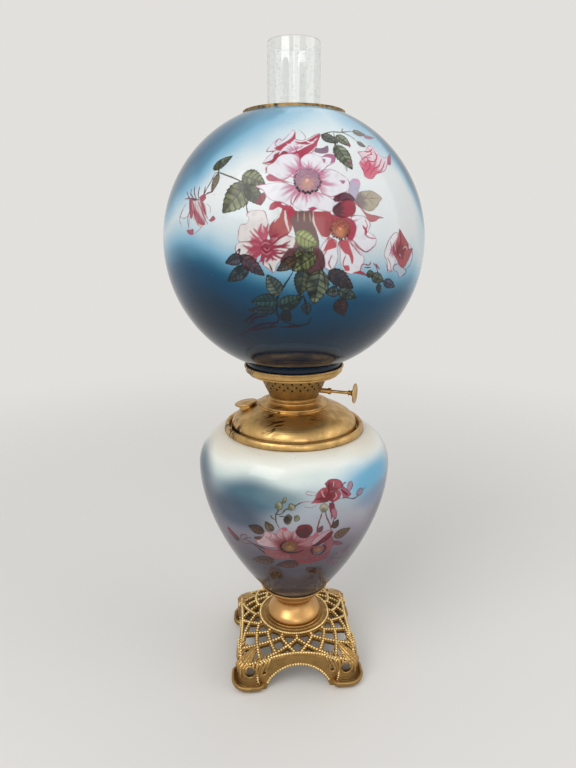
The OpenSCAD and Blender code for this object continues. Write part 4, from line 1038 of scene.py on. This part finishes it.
def chart(name, width, height, centre, paint, lie):
    """Flowers as a thin fired layer: paint colours a flat chart and lie bends it to the glass."""
    start_fresh()
    step = bpy.context.scene.lamp_glass.chart_step
    bpy.ops.mesh.primitive_grid_add(x_subdivisions=int(width / step),
                                    y_subdivisions=int(height / step), size=1, location=(0, 0, 0))
    piece = named(name)
    flat = points_of(piece) * MM
    u, v = centre[0] + flat[:, 0] * width, centre[1] + flat[:, 1] * height
    brush = Brush(u, v)
    paint(brush)
    piece.data.vertices.foreach_set("co", (lie(u, v) * MM).astype(np.float32).ravel())
    write_colour(piece, "fired", brush.colour)
    cover = piece.data.attributes.new("cover", "FLOAT", "POINT")
    cover.data.foreach_set("value", brush.cover.astype(np.float32))
    bpy.ops.object.mode_set(mode="EDIT")
    bpy.ops.mesh.select_mode(type="VERT")
    bpy.ops.mesh.select_all(action="DESELECT")
    bpy.ops.object.mode_set(mode="OBJECT")
    piece.data.vertices.foreach_set("select", brush.cover < 0.02)
    bpy.ops.object.mode_set(mode="EDIT")
    bpy.ops.mesh.delete(type="VERT")
    close_mesh()
    bpy.ops.object.shade_smooth()
    return piece


# ---- pieces ----

class LAMP_OT_shade(bpy.types.Operator):
    """Blow the ball shade, spray it, and fire its sprays of wild roses"""
    bl_idname = "lamp.shade"
    bl_label = "Ball shade"

    def execute(self, context):
        glass = context.scene.lamp_glass
        foot, mouth = foot_of("globe"), top_of("globe")
        ball_r, neck_r, neck_up, throat_r = 127.0, 49.2, 10.5, 46.2
        centre_z = foot + neck_up + math.sqrt(ball_r ** 2 - neck_r ** 2)
        out, inner = glass.shade_r, glass.shade_r - glass.shade_wall

        def level(z, radius):
            return math.degrees(math.asin((z - centre_z) / radius))

        neck = [(neck_r - 0.05, neck_up - 0.1), (neck_r - 0.05, 1.2), (neck_r - 0.6, 0.3),
                (neck_r - 1.6, 0.05), (throat_r + 0.4, 0.3), (throat_r, 1.2)]
        outline = arc((0, centre_z), out, level(mouth - 0.02, out), level(foot + neck_up, out), 110)
        outline += shifted(neck, 0, foot)
        outline += arc((0, centre_z), inner, -math.degrees(math.acos(throat_r / inner)),
                       level(mouth - 0.02, inner), 70)
        ball = turn("ball_shade", outline + outline[:1], 192)
        write_colour(ball, "sprayed", shade_sprayed(points_of(ball), glass, centre_z))
        finish_piece(ball, material_named("sprayed opal", painted_glass), "shade",
                     ["globe"])

        lift = math.radians(4.0)
        roses = material_named("fired roses on opal", painted_glass, True)
        for name, facing, paint in (("shade_roses", FRONT, shade_spray),
                                    ("shade_roses_behind", FRONT + math.pi, shade_spray_behind)):
            c, s = math.cos(facing), math.sin(facing)
            ahead = np.array([c * math.cos(lift), s * math.cos(lift), math.sin(lift)])
            right = np.array([-s, c, 0.0])
            up = np.cross(ahead, right)

            def lie(u, v):
                reach = np.hypot(u, v)
                angle = reach / ball_r
                part = np.sin(angle) / np.maximum(reach, 1e-6)
                way = (np.cos(angle)[:, None] * ahead + (part * u)[:, None] * right
                       + (part * v)[:, None] * up)
                return way * (out + 0.05) + np.array([0, 0, centre_z])

            layer = chart(name, 236, 218, (6, 2), paint, lie)
            write_colour(layer, "sprayed", shade_sprayed(points_of(layer), glass, centre_z))
            finish_piece(layer, roses, "shade")

        brass = context.scene.lamp_brass
        z0, z1 = foot_of("globe_rim"), top_of("globe_rim")
        outline = [(45.95, z0 + 0.02), (46.4, z0), (48.2, z0 + 0.1), (48.35, z0 + 0.8),
                   (48.0, z1 - 0.15), (47.2, z1 - 0.02), (46.3, z1 - 0.2), (45.95, z0 + 0.9)]
        rim = turn("shade_rim", outline + outline[:1], 160)
        # Painted shade: the rim's gilt is halved in tone and fully tarnished, partly for wear and
        # partly to stand in for the dark along the shade's mouth
        dark = metal("gilt rim", tuple(c * 0.5 for c in brass.gilt), amount=1.0, rough=0.3)
        finish_piece(rim, dark, "shade", ["globe_rim"])
        return {"FINISHED"}


class LAMP_OT_vase(bpy.types.Operator):
    """Blow the vase, spray it and fire its flowers"""
    bl_idname = "lamp.vase"
    bl_label = "Vase"

    def execute(self, context):
        foot, mouth = foot_of("vase"), top_of("vase")
        outer = shifted(vase_line(), -0.05, 0.05)
        inner = [(r - 4.0, max(z, 4.0)) for r, z in reversed(outer) if r > 31 and z < 188]
        tall = mouth - foot - 0.02
        lip = [(73.5, tall), (67.4, tall), (67.05, tall - 0.4), (67.05, tall - 3.6)]
        under = curve((69, tall - 4), (84, tall - 4.5), (92, tall - 10), (95.5, tall - 18), 12)
        outline = outer[:-1] + lip + under + inner[2:] + [(13, 4.0), (13, 0.1)]
        shell = turn("vase_shell", shifted(outline + outline[:1], 0, foot), 192)
        write_colour(shell, "sprayed", vase_sprayed(points_of(shell), foot))
        finish_piece(shell, material_named("sprayed vase", painted_glass), "base",
                     ["vase"])

        line = np.array(vase_line())
        length = lengths_along(line)
        middle = np.interp(106.0, line[:, 1], length)     # arc length up to the spray's middle
        flowers = material_named("fired flowers on the vase", painted_glass, True)
        for name, facing in (("vase_flowers", FRONT), ("vase_flowers_behind", FRONT + math.pi)):
            def lie(u, v):
                along = middle + v
                r, z = (np.interp(along, length, line[:, i]) for i in range(2))
                slope = np.gradient(line[:, 1], length), -np.gradient(line[:, 0], length)
                out, up = (np.interp(along, length, part) for part in slope)
                angle = facing + u / np.maximum(r, 40)
                r, z = r - 0.05 + 0.05 * out, z + 0.05 + 0.05 * up
                return np.stack([r * np.cos(angle), r * np.sin(angle), z + foot], -1)

            layer = chart(name, 168, 150, (2, 6), vase_spray, lie)
            write_colour(layer, "sprayed", vase_sprayed(points_of(layer), foot))
            finish_piece(layer, flowers, "base")
        return {"FINISHED"}


class LAMP_OT_chimney(bpy.types.Operator):
    """Draw the clear chimney with its bulge and seeds"""
    bl_idname = "lamp.chimney"
    bl_label = "Chimney"

    def execute(self, context):
        foot = foot_of("chimney")
        tall, wall = top_of("chimney") - foot, context.scene.lamp_glass.chimney_wall
        outer = ([(32.95, 0.8), (32.95, 12)]
                 + curve((32.95, 12), (32.95, 22), (36.95, 26), (36.95, 42), 14)[1:]
                 + curve((36.95, 42), (36.95, 74), (24.55, 92), (24.55, 136), 26)[1:]
                 + [(24.55, tall - 1.0)])
        lip = arc((24.55 - wall / 2, tall - wall / 2 - 0.1), wall / 2, 0, 180, 6)
        heel = arc((32.95 - wall / 2, wall / 2 + 0.02), wall / 2, 180, 360, 6)
        outline = outer + lip + [(r - wall, z) for r, z in reversed(outer)] + heel
        tube = turn("chimney_glass", shifted(outline + outline[:1], 0, foot), 128)
        clear = material_named("blown clear glass", blown_glass)
        finish_piece(tube, clear, "chimney", ["chimney"])
        return {"FINISHED"}


class BaseShape:
    """The surfaces of the cast base, for the ornament that lies on them."""
    seat_r, lean, count = 39.0, 0.84, 16

    def __init__(self):
        self.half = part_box("base_casting")[1].x / MM - 8.15
        self.top = top_of("base_casting")
        self.corner = self.half - 10.0
        self.rise = np.array(curve((self.seat_r, self.top - 3.4), (51, 45), (self.half - 2, 40.5),
                                   (self.half + 6, 35.5), 8) + [(self.half * 1.45, 25)])

    def spiral_r(self, turned):
        return (self.seat_r + 6) * math.exp(self.lean * turned)

    def height(self, x, y):
        return float(np.interp(math.hypot(x, y), self.rise[:, 0], self.rise[:, 1]))

    def skin(self, x, up, lift=0.0):
        """A point on the front: on the top where up is above 0, and down the wall below it."""
        face = self.half - self.set_back(x)
        if up <= 0:
            return x, -(face + lift), self.height(x, face) + up
        return x, up - face, self.height(x, face - up) + lift

    def set_back(self, along):
        return max(0.0, 2.0 * (1.0 - (along / 37.0) ** 2))

    def outline(self, inset):
        """Points round the casting in plan, drawn in from its edge."""
        side = [(self.half - inset - self.set_back(y), y)
                for y in np.linspace(-self.corner, self.corner, 40)]
        side += arc((self.corner, self.corner), 10.0 - inset, 0, 90, 8)[1:-1]
        path = [turned[quarter] for quarter in range(4) for turned in map(four_sides, side)]
        return path + path[:1]

    def inside(self, x, y, inset):
        a, b = max(abs(x), abs(y)), min(abs(x), abs(y))
        if a > self.corner and b > self.corner:
            return math.hypot(a - self.corner, b - self.corner) < 10.0 - inset
        return a < self.half - inset - self.set_back(b)


def spaced(path, gap):
    """Points at one spacing along a path."""
    path = np.array(path, float)
    length = lengths_along(path)
    stops = np.linspace(0, length[-1], max(2, round(length[-1] / gap) + 1))
    return [tuple(np.interp(s, length, column) for column in path.T) for s in stops]


def four_sides(point):
    """A point at the same place on each of the four sides."""
    x, y, *rest = point
    return [(x, y, *rest), (-y, x, *rest), (-x, -y, *rest), (y, -x, *rest)]


def on_four_sides(paths):
    return [[four_sides(p)[quarter] for p in path] for path in paths for quarter in range(4)]


def string_beads(name, places, radius):
    """One bead, repeated at each place."""
    start_fresh()
    string = bpy.data.objects.new("string", bpy.data.meshes.new("string"))
    string.data.from_pydata([tuple(v * MM for v in p) for p in places], [], [])
    bpy.context.collection.objects.link(string)
    bpy.ops.mesh.primitive_ico_sphere_add(subdivisions=2, radius=radius * MM, location=(0, 0, 0))
    bead = bpy.context.object
    bpy.ops.object.shade_smooth()
    bead.parent = string
    string.instance_type = "VERTS"
    bpy.ops.object.select_all(action="DESELECT")
    string.select_set(True)
    bpy.context.view_layer.objects.active = string
    bpy.ops.object.duplicates_make_real()
    bpy.context.view_layer.objects.active = next(
        o for o in bpy.context.selected_objects if o.type == "MESH" and o is not string)
    string.select_set(False)
    bpy.ops.object.make_single_user(object=True, obdata=True)
    bpy.ops.object.join()
    bpy.ops.object.transform_apply(location=True, rotation=True, scale=True)
    bpy.data.objects.remove(bead)
    bpy.data.objects.remove(string)
    return named(name)


def sweep(name, paths, radius, sides=3):
    """Round rods along paths of (x, y, z, thickness) points, as one piece."""
    start_fresh()
    bpy.ops.curve.primitive_bezier_curve_add(location=(0, 0, 0))
    rod = bpy.context.object
    rod.data.splines.clear()
    rod.data.bevel_depth, rod.data.bevel_resolution = radius * MM, sides
    rod.data.use_fill_caps = True
    for path in paths:
        line = rod.data.splines.new("POLY")
        line.points.add(len(path) - 1)
        for point, (x, y, z, thick) in zip(line.points, path):
            point.co = (x * MM, y * MM, z * MM, 1)
            point.radius = thick
    bpy.ops.object.convert(target="MESH")
    bpy.ops.object.mode_set(mode="EDIT")
    close_mesh(merge=0.001)
    bpy.ops.object.shade_smooth_by_angle(angle=math.radians(50))
    return named(name)


def lattice_points(shape, gap):
    """Bead places along the two sets of spiral strips, with one bead at each crossing."""
    half_step = math.pi / shape.count        # the strips cross at every half step
    grow = math.sqrt(1 + shape.lean ** 2)
    beads = []
    for k in range(8):
        inner = shape.spiral_r(k * half_step)
        between = max(1, round(inner * half_step * grow * 1.09 / gap))
        for strip in range(shape.count):
            start = (2 * strip + k) * half_step
            beads.append((inner, start))
            for j in range(1, between):
                u = half_step * j / between
                beads += [(shape.spiral_r(k * half_step + u), start + way * u) for way in (-1, 1)]
    beads += [(shape.seat_r + 6 - gap * j, 2 * strip * half_step)
              for strip in range(shape.count) for j in (1, 2)]
    return [(r * math.cos(a), r * math.sin(a)) for r, a in beads]


def corner_ribs(shape):
    """Leaves that rise over the corners, as fans of tapering ribs."""
    ribs = []
    # x and up of each rib's points, and its thickness
    for rib, thick in (
            ((41, -13, 39, -6, 35, 0, 31.5, 7), 2.2), ((36, -10, 33.5, -4, 31, 1, 29, 4), 1.7),
            ((43, -8, 40, -1, 36.5, 4, 34, 8), 1.7), ((45.5, -11, 45.5, -4, 43, 3, 39, 10), 2.2),
            ((47, -5, 49, -1, 47, 4, 43, 9), 1.8), ((44, -14, 42, -5, 39.5, 1, 37, 6), 1.7)):
        line = [shape.skin(x, up, 0.5) for x, up in smooth_path(pairs(rib), 4)]
        taper = np.interp(np.linspace(0, 1, len(line)), [0, 0.35, 0.8, 1], [0.7, 1.0, 0.75, 0.3])
        ribs += [[(side * x, y, z, thick * w) for (x, y, z), w in zip(line, taper)]
                 for side in (-1, 1)]
    # The middle ribs, on the corner's diagonal
    for off, tip, thick in ((0, 42.5, 2.6), (4.2, 46.5, 2.1), (-4.2, 46.5, 2.1), (7.6, 51, 1.7),
                            (-7.6, 51, 1.7)):
        line = []
        for t, w in zip(np.linspace(0, 1, 9), (0.6, 0.8, 1, 1, 1, 0.9, 0.8, 0.6, 0.3)):
            along = 62.4 + (tip - 62.4) * max(0, t - 0.25) / 0.75 - 0.012 * off ** 2 * (1 - t)
            spread = off * 0.7 * (1 - 0.35 * t)
            x, y = along + spread, -along + spread
            drop = (14 - 1.3 * abs(off)) * max(0, 0.25 - t) / 0.25
            line.append((x, y, shape.height(x, y) + 0.6 - drop, thick * w))
        ribs.append(line)
    return ribs


def opening_rims(shape):
    """Rings round the openings of the feet."""
    return [[(side * x + wide * math.cos(a), -(shape.half - shape.set_back(x) + 0.5),
              z + tall * math.sin(a), 1.0) for a in np.linspace(0, FULL_TURN, 25)]
            for x, z, wide, tall in ((shape.corner - 2.5, 23.6, 6.3, 7.3),
                                     (shape.corner - 17.3, 24.6, 3.4, 5.6)) for side in (-1, 1)]


class LAMP_OT_base(bpy.types.Operator):
    """Finish the pierced cast base with its beads, corner leaves and rims round its openings"""
    bl_idname = "lamp.base"
    bl_label = "Cast base"

    def execute(self, context):
        brass, base = context.scene.lamp_brass, context.scene.lamp_base
        # Painted shade: the casting's darker gilt stands in for the shade in its recesses
        dress(metal("gilt casting", brass.cast, size=14, amount=0.62, rough=0.34, turned=False,
                    grain=0.8, stipple=1.6), "base_casting")
        # Painted highlight: the beads are a much lighter gilt than the casting, partly rubbed wear
        # and partly painted highlight on each bead
        bright = metal("rubbed gilt", brass.rubbed_and_highlit, size=10, amount=0.25, rough=0.24, turned=False,
                       grain=0.4)
        shape = BaseShape()
        gap, radius = base.bead_gap, base.bead_r

        def raised(points):
            return [(x, y, shape.height(x, y) + radius * 0.45) for x, y in points]

        arch_half, arch_h = shape.corner - 20.0, 27.0
        arch_r = (arch_half ** 2 + arch_h ** 2) / (2 * arch_h)
        edges = [[(x, -(shape.half - shape.set_back(x)), z)
                  for x, z in arc((0, arch_h - arch_r), arch_r + 1.9, 28, 152, 40)]]
        leg = smooth_path(pairs((31, 38, 38, 35.5, 43.6, 30, 44.6, 22, 44.4, 12, 43.4, 7)))
        edges += [[(side * x, -shape.half, z) for x, z in leg] for side in (-1, 1)]
        lattice = [p for p in lattice_points(shape, gap) if shape.inside(*p, 4.4)]
        border = spaced(shape.outline(2.4), gap)[:-1]
        seat = [(x, y, shape.top - 2.3) for x, y in arc((0, 0), 39.5, 0, 360, 108)[:-1]]
        feet = [q for edge in edges for p in spaced(edge, gap) for q in four_sides(p)]
        for name, places, share in (("lattice_beads", raised(lattice), 1.0),
                                    ("border_beads", raised(border), 1.1),
                                    ("seat_beads", seat, 0.95), ("foot_beads", feet, 1.0)):
            beads = string_beads(name, places, radius * share)
            finish_piece(beads, bright, "base")

        # Painted highlight: the raised leaves and rims are a copy of the cast gilt made 1.3 times
        # lighter
        lit_cast_gilt = metal("leaf gilt", tuple(c * 1.3 for c in brass.cast), size=10, amount=0.5,
                     rough=0.28, turned=False, grain=0.6, stipple=2.4)
        for name, paths, size in (("corner_leaves", corner_ribs(shape), 1.0),
                                  ("opening_rims", opening_rims(shape), 1.1)):
            finish_piece(sweep(name, on_four_sides(paths), size), lit_cast_gilt, "base")
        return {"FINISHED"}


class LAMP_OT_stem(bpy.types.Operator):
    """Spin the bell shaped stem and a rolled lip for the cup that holds the vase"""
    bl_idname = "lamp.stem"
    bl_label = "Stem and cup"

    def execute(self, context):
        brass, wall = context.scene.lamp_brass, 1.2
        out = ([(29.5, 0)] + curve((30.5, 1.2), (31.1, 8), (22.5, 11), (21.5, 18.5), 18)
               + curve((21.5, 18.5), (21.5, 22.4), (24, 25), (26.5, 27), 12)[1:] + [(26.5, 28)])
        outline = shifted(out, -0.03, 0.02) + [(r - wall, z) for r, z in reversed(out)]
        outline = [(r, min(z, 27.98) + foot_of("base_stem")) for r, z in outline]
        satin = metal("satin copper gilt", brass.copper, size=20, amount=0.2, rough=0.3, deep=0.75)
        finish_piece(turn("bell_stem", outline + outline[:1], brass.turn_steps), satin, "base",
                     ["base_stem"])
        dress(satin, "vase_cup")
        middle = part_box("vase_cup")[1].x / MM - 1.3, top_of("vase_cup") - 0.9
        lip = turn("cup_lip", arc(middle, 1.25, 0, 360, 12), brass.turn_steps)
        finish_piece(lip, satin, "base")
        return {"FINISHED"}


def worn_gilt():
    return metal("worn gilt brass", bpy.context.scene.lamp_brass.gilt, size=11, amount=0.56,
                 rough=0.32, chips=3.2)


class LAMP_OT_font(bpy.types.Operator):
    """Spin the crown ring, and finish the font's domed top and its filler"""
    bl_idname = "lamp.font"
    bl_label = "Crown and font"

    def execute(self, context):
        dress(worn_gilt(), "font_dome", "filler_neck", "filler_cap")
        seat, low = top_of("vase"), foot_of("crown_ring")
        bead = [(71.25 + 3.24 * math.cos(a), seat + 1.2 + 6.28 * max(0.0, math.sin(a)))
                for a in np.linspace(math.radians(-15), math.pi, 26)]
        outline = ([(66.62, seat + 0.02), (73.4, seat + 0.02)] + bead
                   + [(68.0, seat + 2), (60.5, seat + 2), (60.5, seat + 0.02), (65.4, seat - 1.2),
                      (65.4, low + 0.02), (66.6, low + 0.02), (66.62, seat + 0.02)])
        finish_piece(turn("crown_bead", outline, context.scene.lamp_brass.turn_steps, crease=55.0),
                     worn_gilt(), "base", ["crown_ring"])
        return {"FINISHED"}


class LAMP_OT_burner(bpy.types.Operator):
    """Finish the burner, its shade ring and the knob"""
    bl_idname = "lamp.burner"
    bl_label = "Burner"

    def execute(self, context):
        dress(worn_gilt(), "burner_collar", "shade_ring", "chimney_gallery", "shaft_gland",
              "knob_shaft", "wick_knob")
        dark = tuple(c * 0.55 for c in context.scene.lamp_brass.gilt)
        dress(metal("pebbled brass", dark, amount=0.6, rough=0.36, turned=False, stipple=3.0),
              "burner_bowl")
        return {"FINISHED"}


class LAMP_OT_inside(bpy.types.Operator):
    """Finish the parts that are hidden inside the lamp"""
    bl_idname = "lamp.inside"
    bl_label = "Inner parts"

    def execute(self, context):
        dull = tuple(c * 0.7 for c in context.scene.lamp_brass.gilt)
        dress(metal("dull brass", dull, size=16, rough=0.42, turned=False, grain=0.4),
              "clamp_tube", "font_pot", "font_neck", "draught_tube", "wick_tube", "wick_pinion",
              "wick_carrier", "flame_spreader")
        dress(material_named("zinc", plain_part, srgb(150, 152, 150), 0.4, 1.0), "clamp_washer",
              "clamp_nut", "vase_nut")
        dress(material_named("cork", plain_part, srgb(176, 136, 92), 0.85), "vase_gasket",
              "filler_washer")
        dress(material_named("wick cotton", plain_part, srgb(226, 214, 186), 0.9, woven=True),
              "wick")
        return {"FINISHED"}


class LAMP_OT_stage(bpy.types.Operator):
    """Set the floor, the lights and the camera"""
    bl_idname = "lamp.stage"
    bl_label = "Stage"

    def execute(self, context):
        stage = context.scene.lamp_stage
        start_fresh()
        bpy.ops.mesh.primitive_circle_add(vertices=96, radius=6, fill_type="NGON",
                                          location=(0, 0, 0))
        floor = context.object
        floor.name = "floor"

        def pale_floor(tree, place):
            away = add_node(tree, "ShaderNodeVectorMath", {0: place}, operation="LENGTH")
            fading = add_node(tree, "ShaderNodeMixShader", {
                0: Wire(tree, away.outputs["Value"]).step(0.35, 1.5),
                1: tree.nodes["Principled BSDF"].outputs[0],
                2: add_node(tree, "ShaderNodeBsdfTransparent").outputs[0]})
            tree.links.new(fading.outputs[0], tree.nodes["Material Output"].inputs["Surface"])
            finish = {"Base Color": (*stage.floor, 1), "Roughness": 0.9, "Specular IOR Level": 0.1}
            return finish, None

        floor.data.materials.append(material_named("pale floor", pale_floor))

        world = bpy.data.worlds.new("studio")
        context.scene.world = world
        world.use_nodes = True
        tree = world.node_tree
        path = {out.name: Wire(tree, out) for out in add_node(tree, "ShaderNodeLightPath").outputs}
        way = add_node(tree, "ShaderNodeTexCoord").outputs["Generated"]
        up = Wire(tree, add_node(tree, "ShaderNodeSeparateXYZ", {"Vector": way}).outputs[2])
        soft = up.step(-0.3, 0.9).mix((0.30, 0.30, 0.30), (0.62, 0.62, 0.62))
        seen = path["Is Camera Ray"].math("MAXIMUM", path["Is Glossy Ray"].math(
            "MAXIMUM", path["Is Transmission Ray"]))
        tree.links.new(seen.mix(soft, stage.floor).end, tree.nodes["Background"].inputs["Color"])
        for name, at, size, power in (("key", (-0.95, -1.05, 1.5), 1.1, 15),
                                      ("fill", (1.5, -0.5, 1.1), 1.3, 7),
                                      ("low", (0.2, -1.7, 0.75), 0.8, 4),
                                      ("back", (0.7, 1.1, 2.2), 1.6, 4)):
            bpy.ops.object.light_add(type="AREA", location=at)
            lamp = context.object
            lamp.name = name
            lamp.data.energy, lamp.data.size = power, size
            aim = Vector((0, 0, 0.3)) - Vector(at)
            lamp.rotation_euler = aim.to_track_quat("-Z", "Y").to_euler()

        tilt = math.radians(90 - 15.3)
        bpy.ops.object.camera_add(location=(-0.0432, -0.5884, 0.490),
                                  rotation=(tilt, 0, FRONT + math.radians(90)))
        camera = context.object
        camera.data.lens, camera.data.sensor_width = stage.lens, 36
        camera.data.clip_start, camera.data.shift_x = 0.01, -0.0078
        context.scene.camera = camera
        context.scene.view_settings.view_transform = "Standard"
        return {"FINISHED"}


class LAMP_PT_panel(bpy.types.Panel):
    bl_label = "Oil lamp"
    bl_idname = "LAMP_PT_panel"
    bl_space_type = "VIEW_3D"
    bl_region_type = "UI"
    bl_category = "Lamp"

    def draw(self, context):
        for name in SETTINGS:
            group, box = getattr(context.scene, name), self.layout.box()
            box.label(text=name.split("_")[1].capitalize())
            for key in group.__annotations__:
                box.prop(group, key)
        for maker in MAKERS:
            self.layout.operator(maker.bl_idname)


SETTINGS = {"lamp_glass": LampGlass, "lamp_brass": LampBrass, "lamp_base": LampBase,
            "lamp_stage": LampStage}
MAKERS = (LAMP_OT_base, LAMP_OT_stem, LAMP_OT_vase, LAMP_OT_font, LAMP_OT_burner, LAMP_OT_inside,
          LAMP_OT_chimney, LAMP_OT_shade, LAMP_OT_stage)


def register():
    for kind in (*SETTINGS.values(), *MAKERS, LAMP_PT_panel):
        bpy.utils.register_class(kind)
    for name, kind in SETTINGS.items():
        setattr(bpy.types.Scene, name, bpy.props.PointerProperty(type=kind))


def unregister():
    for name in SETTINGS:
        delattr(bpy.types.Scene, name)
    for kind in reversed((*SETTINGS.values(), *MAKERS, LAMP_PT_panel)):
        bpy.utils.unregister_class(kind)


def main():
    """Makes the whole lamp, piece by piece."""
    register()
    for maker in MAKERS:
        group, name = maker.bl_idname.split(".")
        getattr(getattr(bpy.ops, group), name)()


if __name__ == "__main__":
    main()
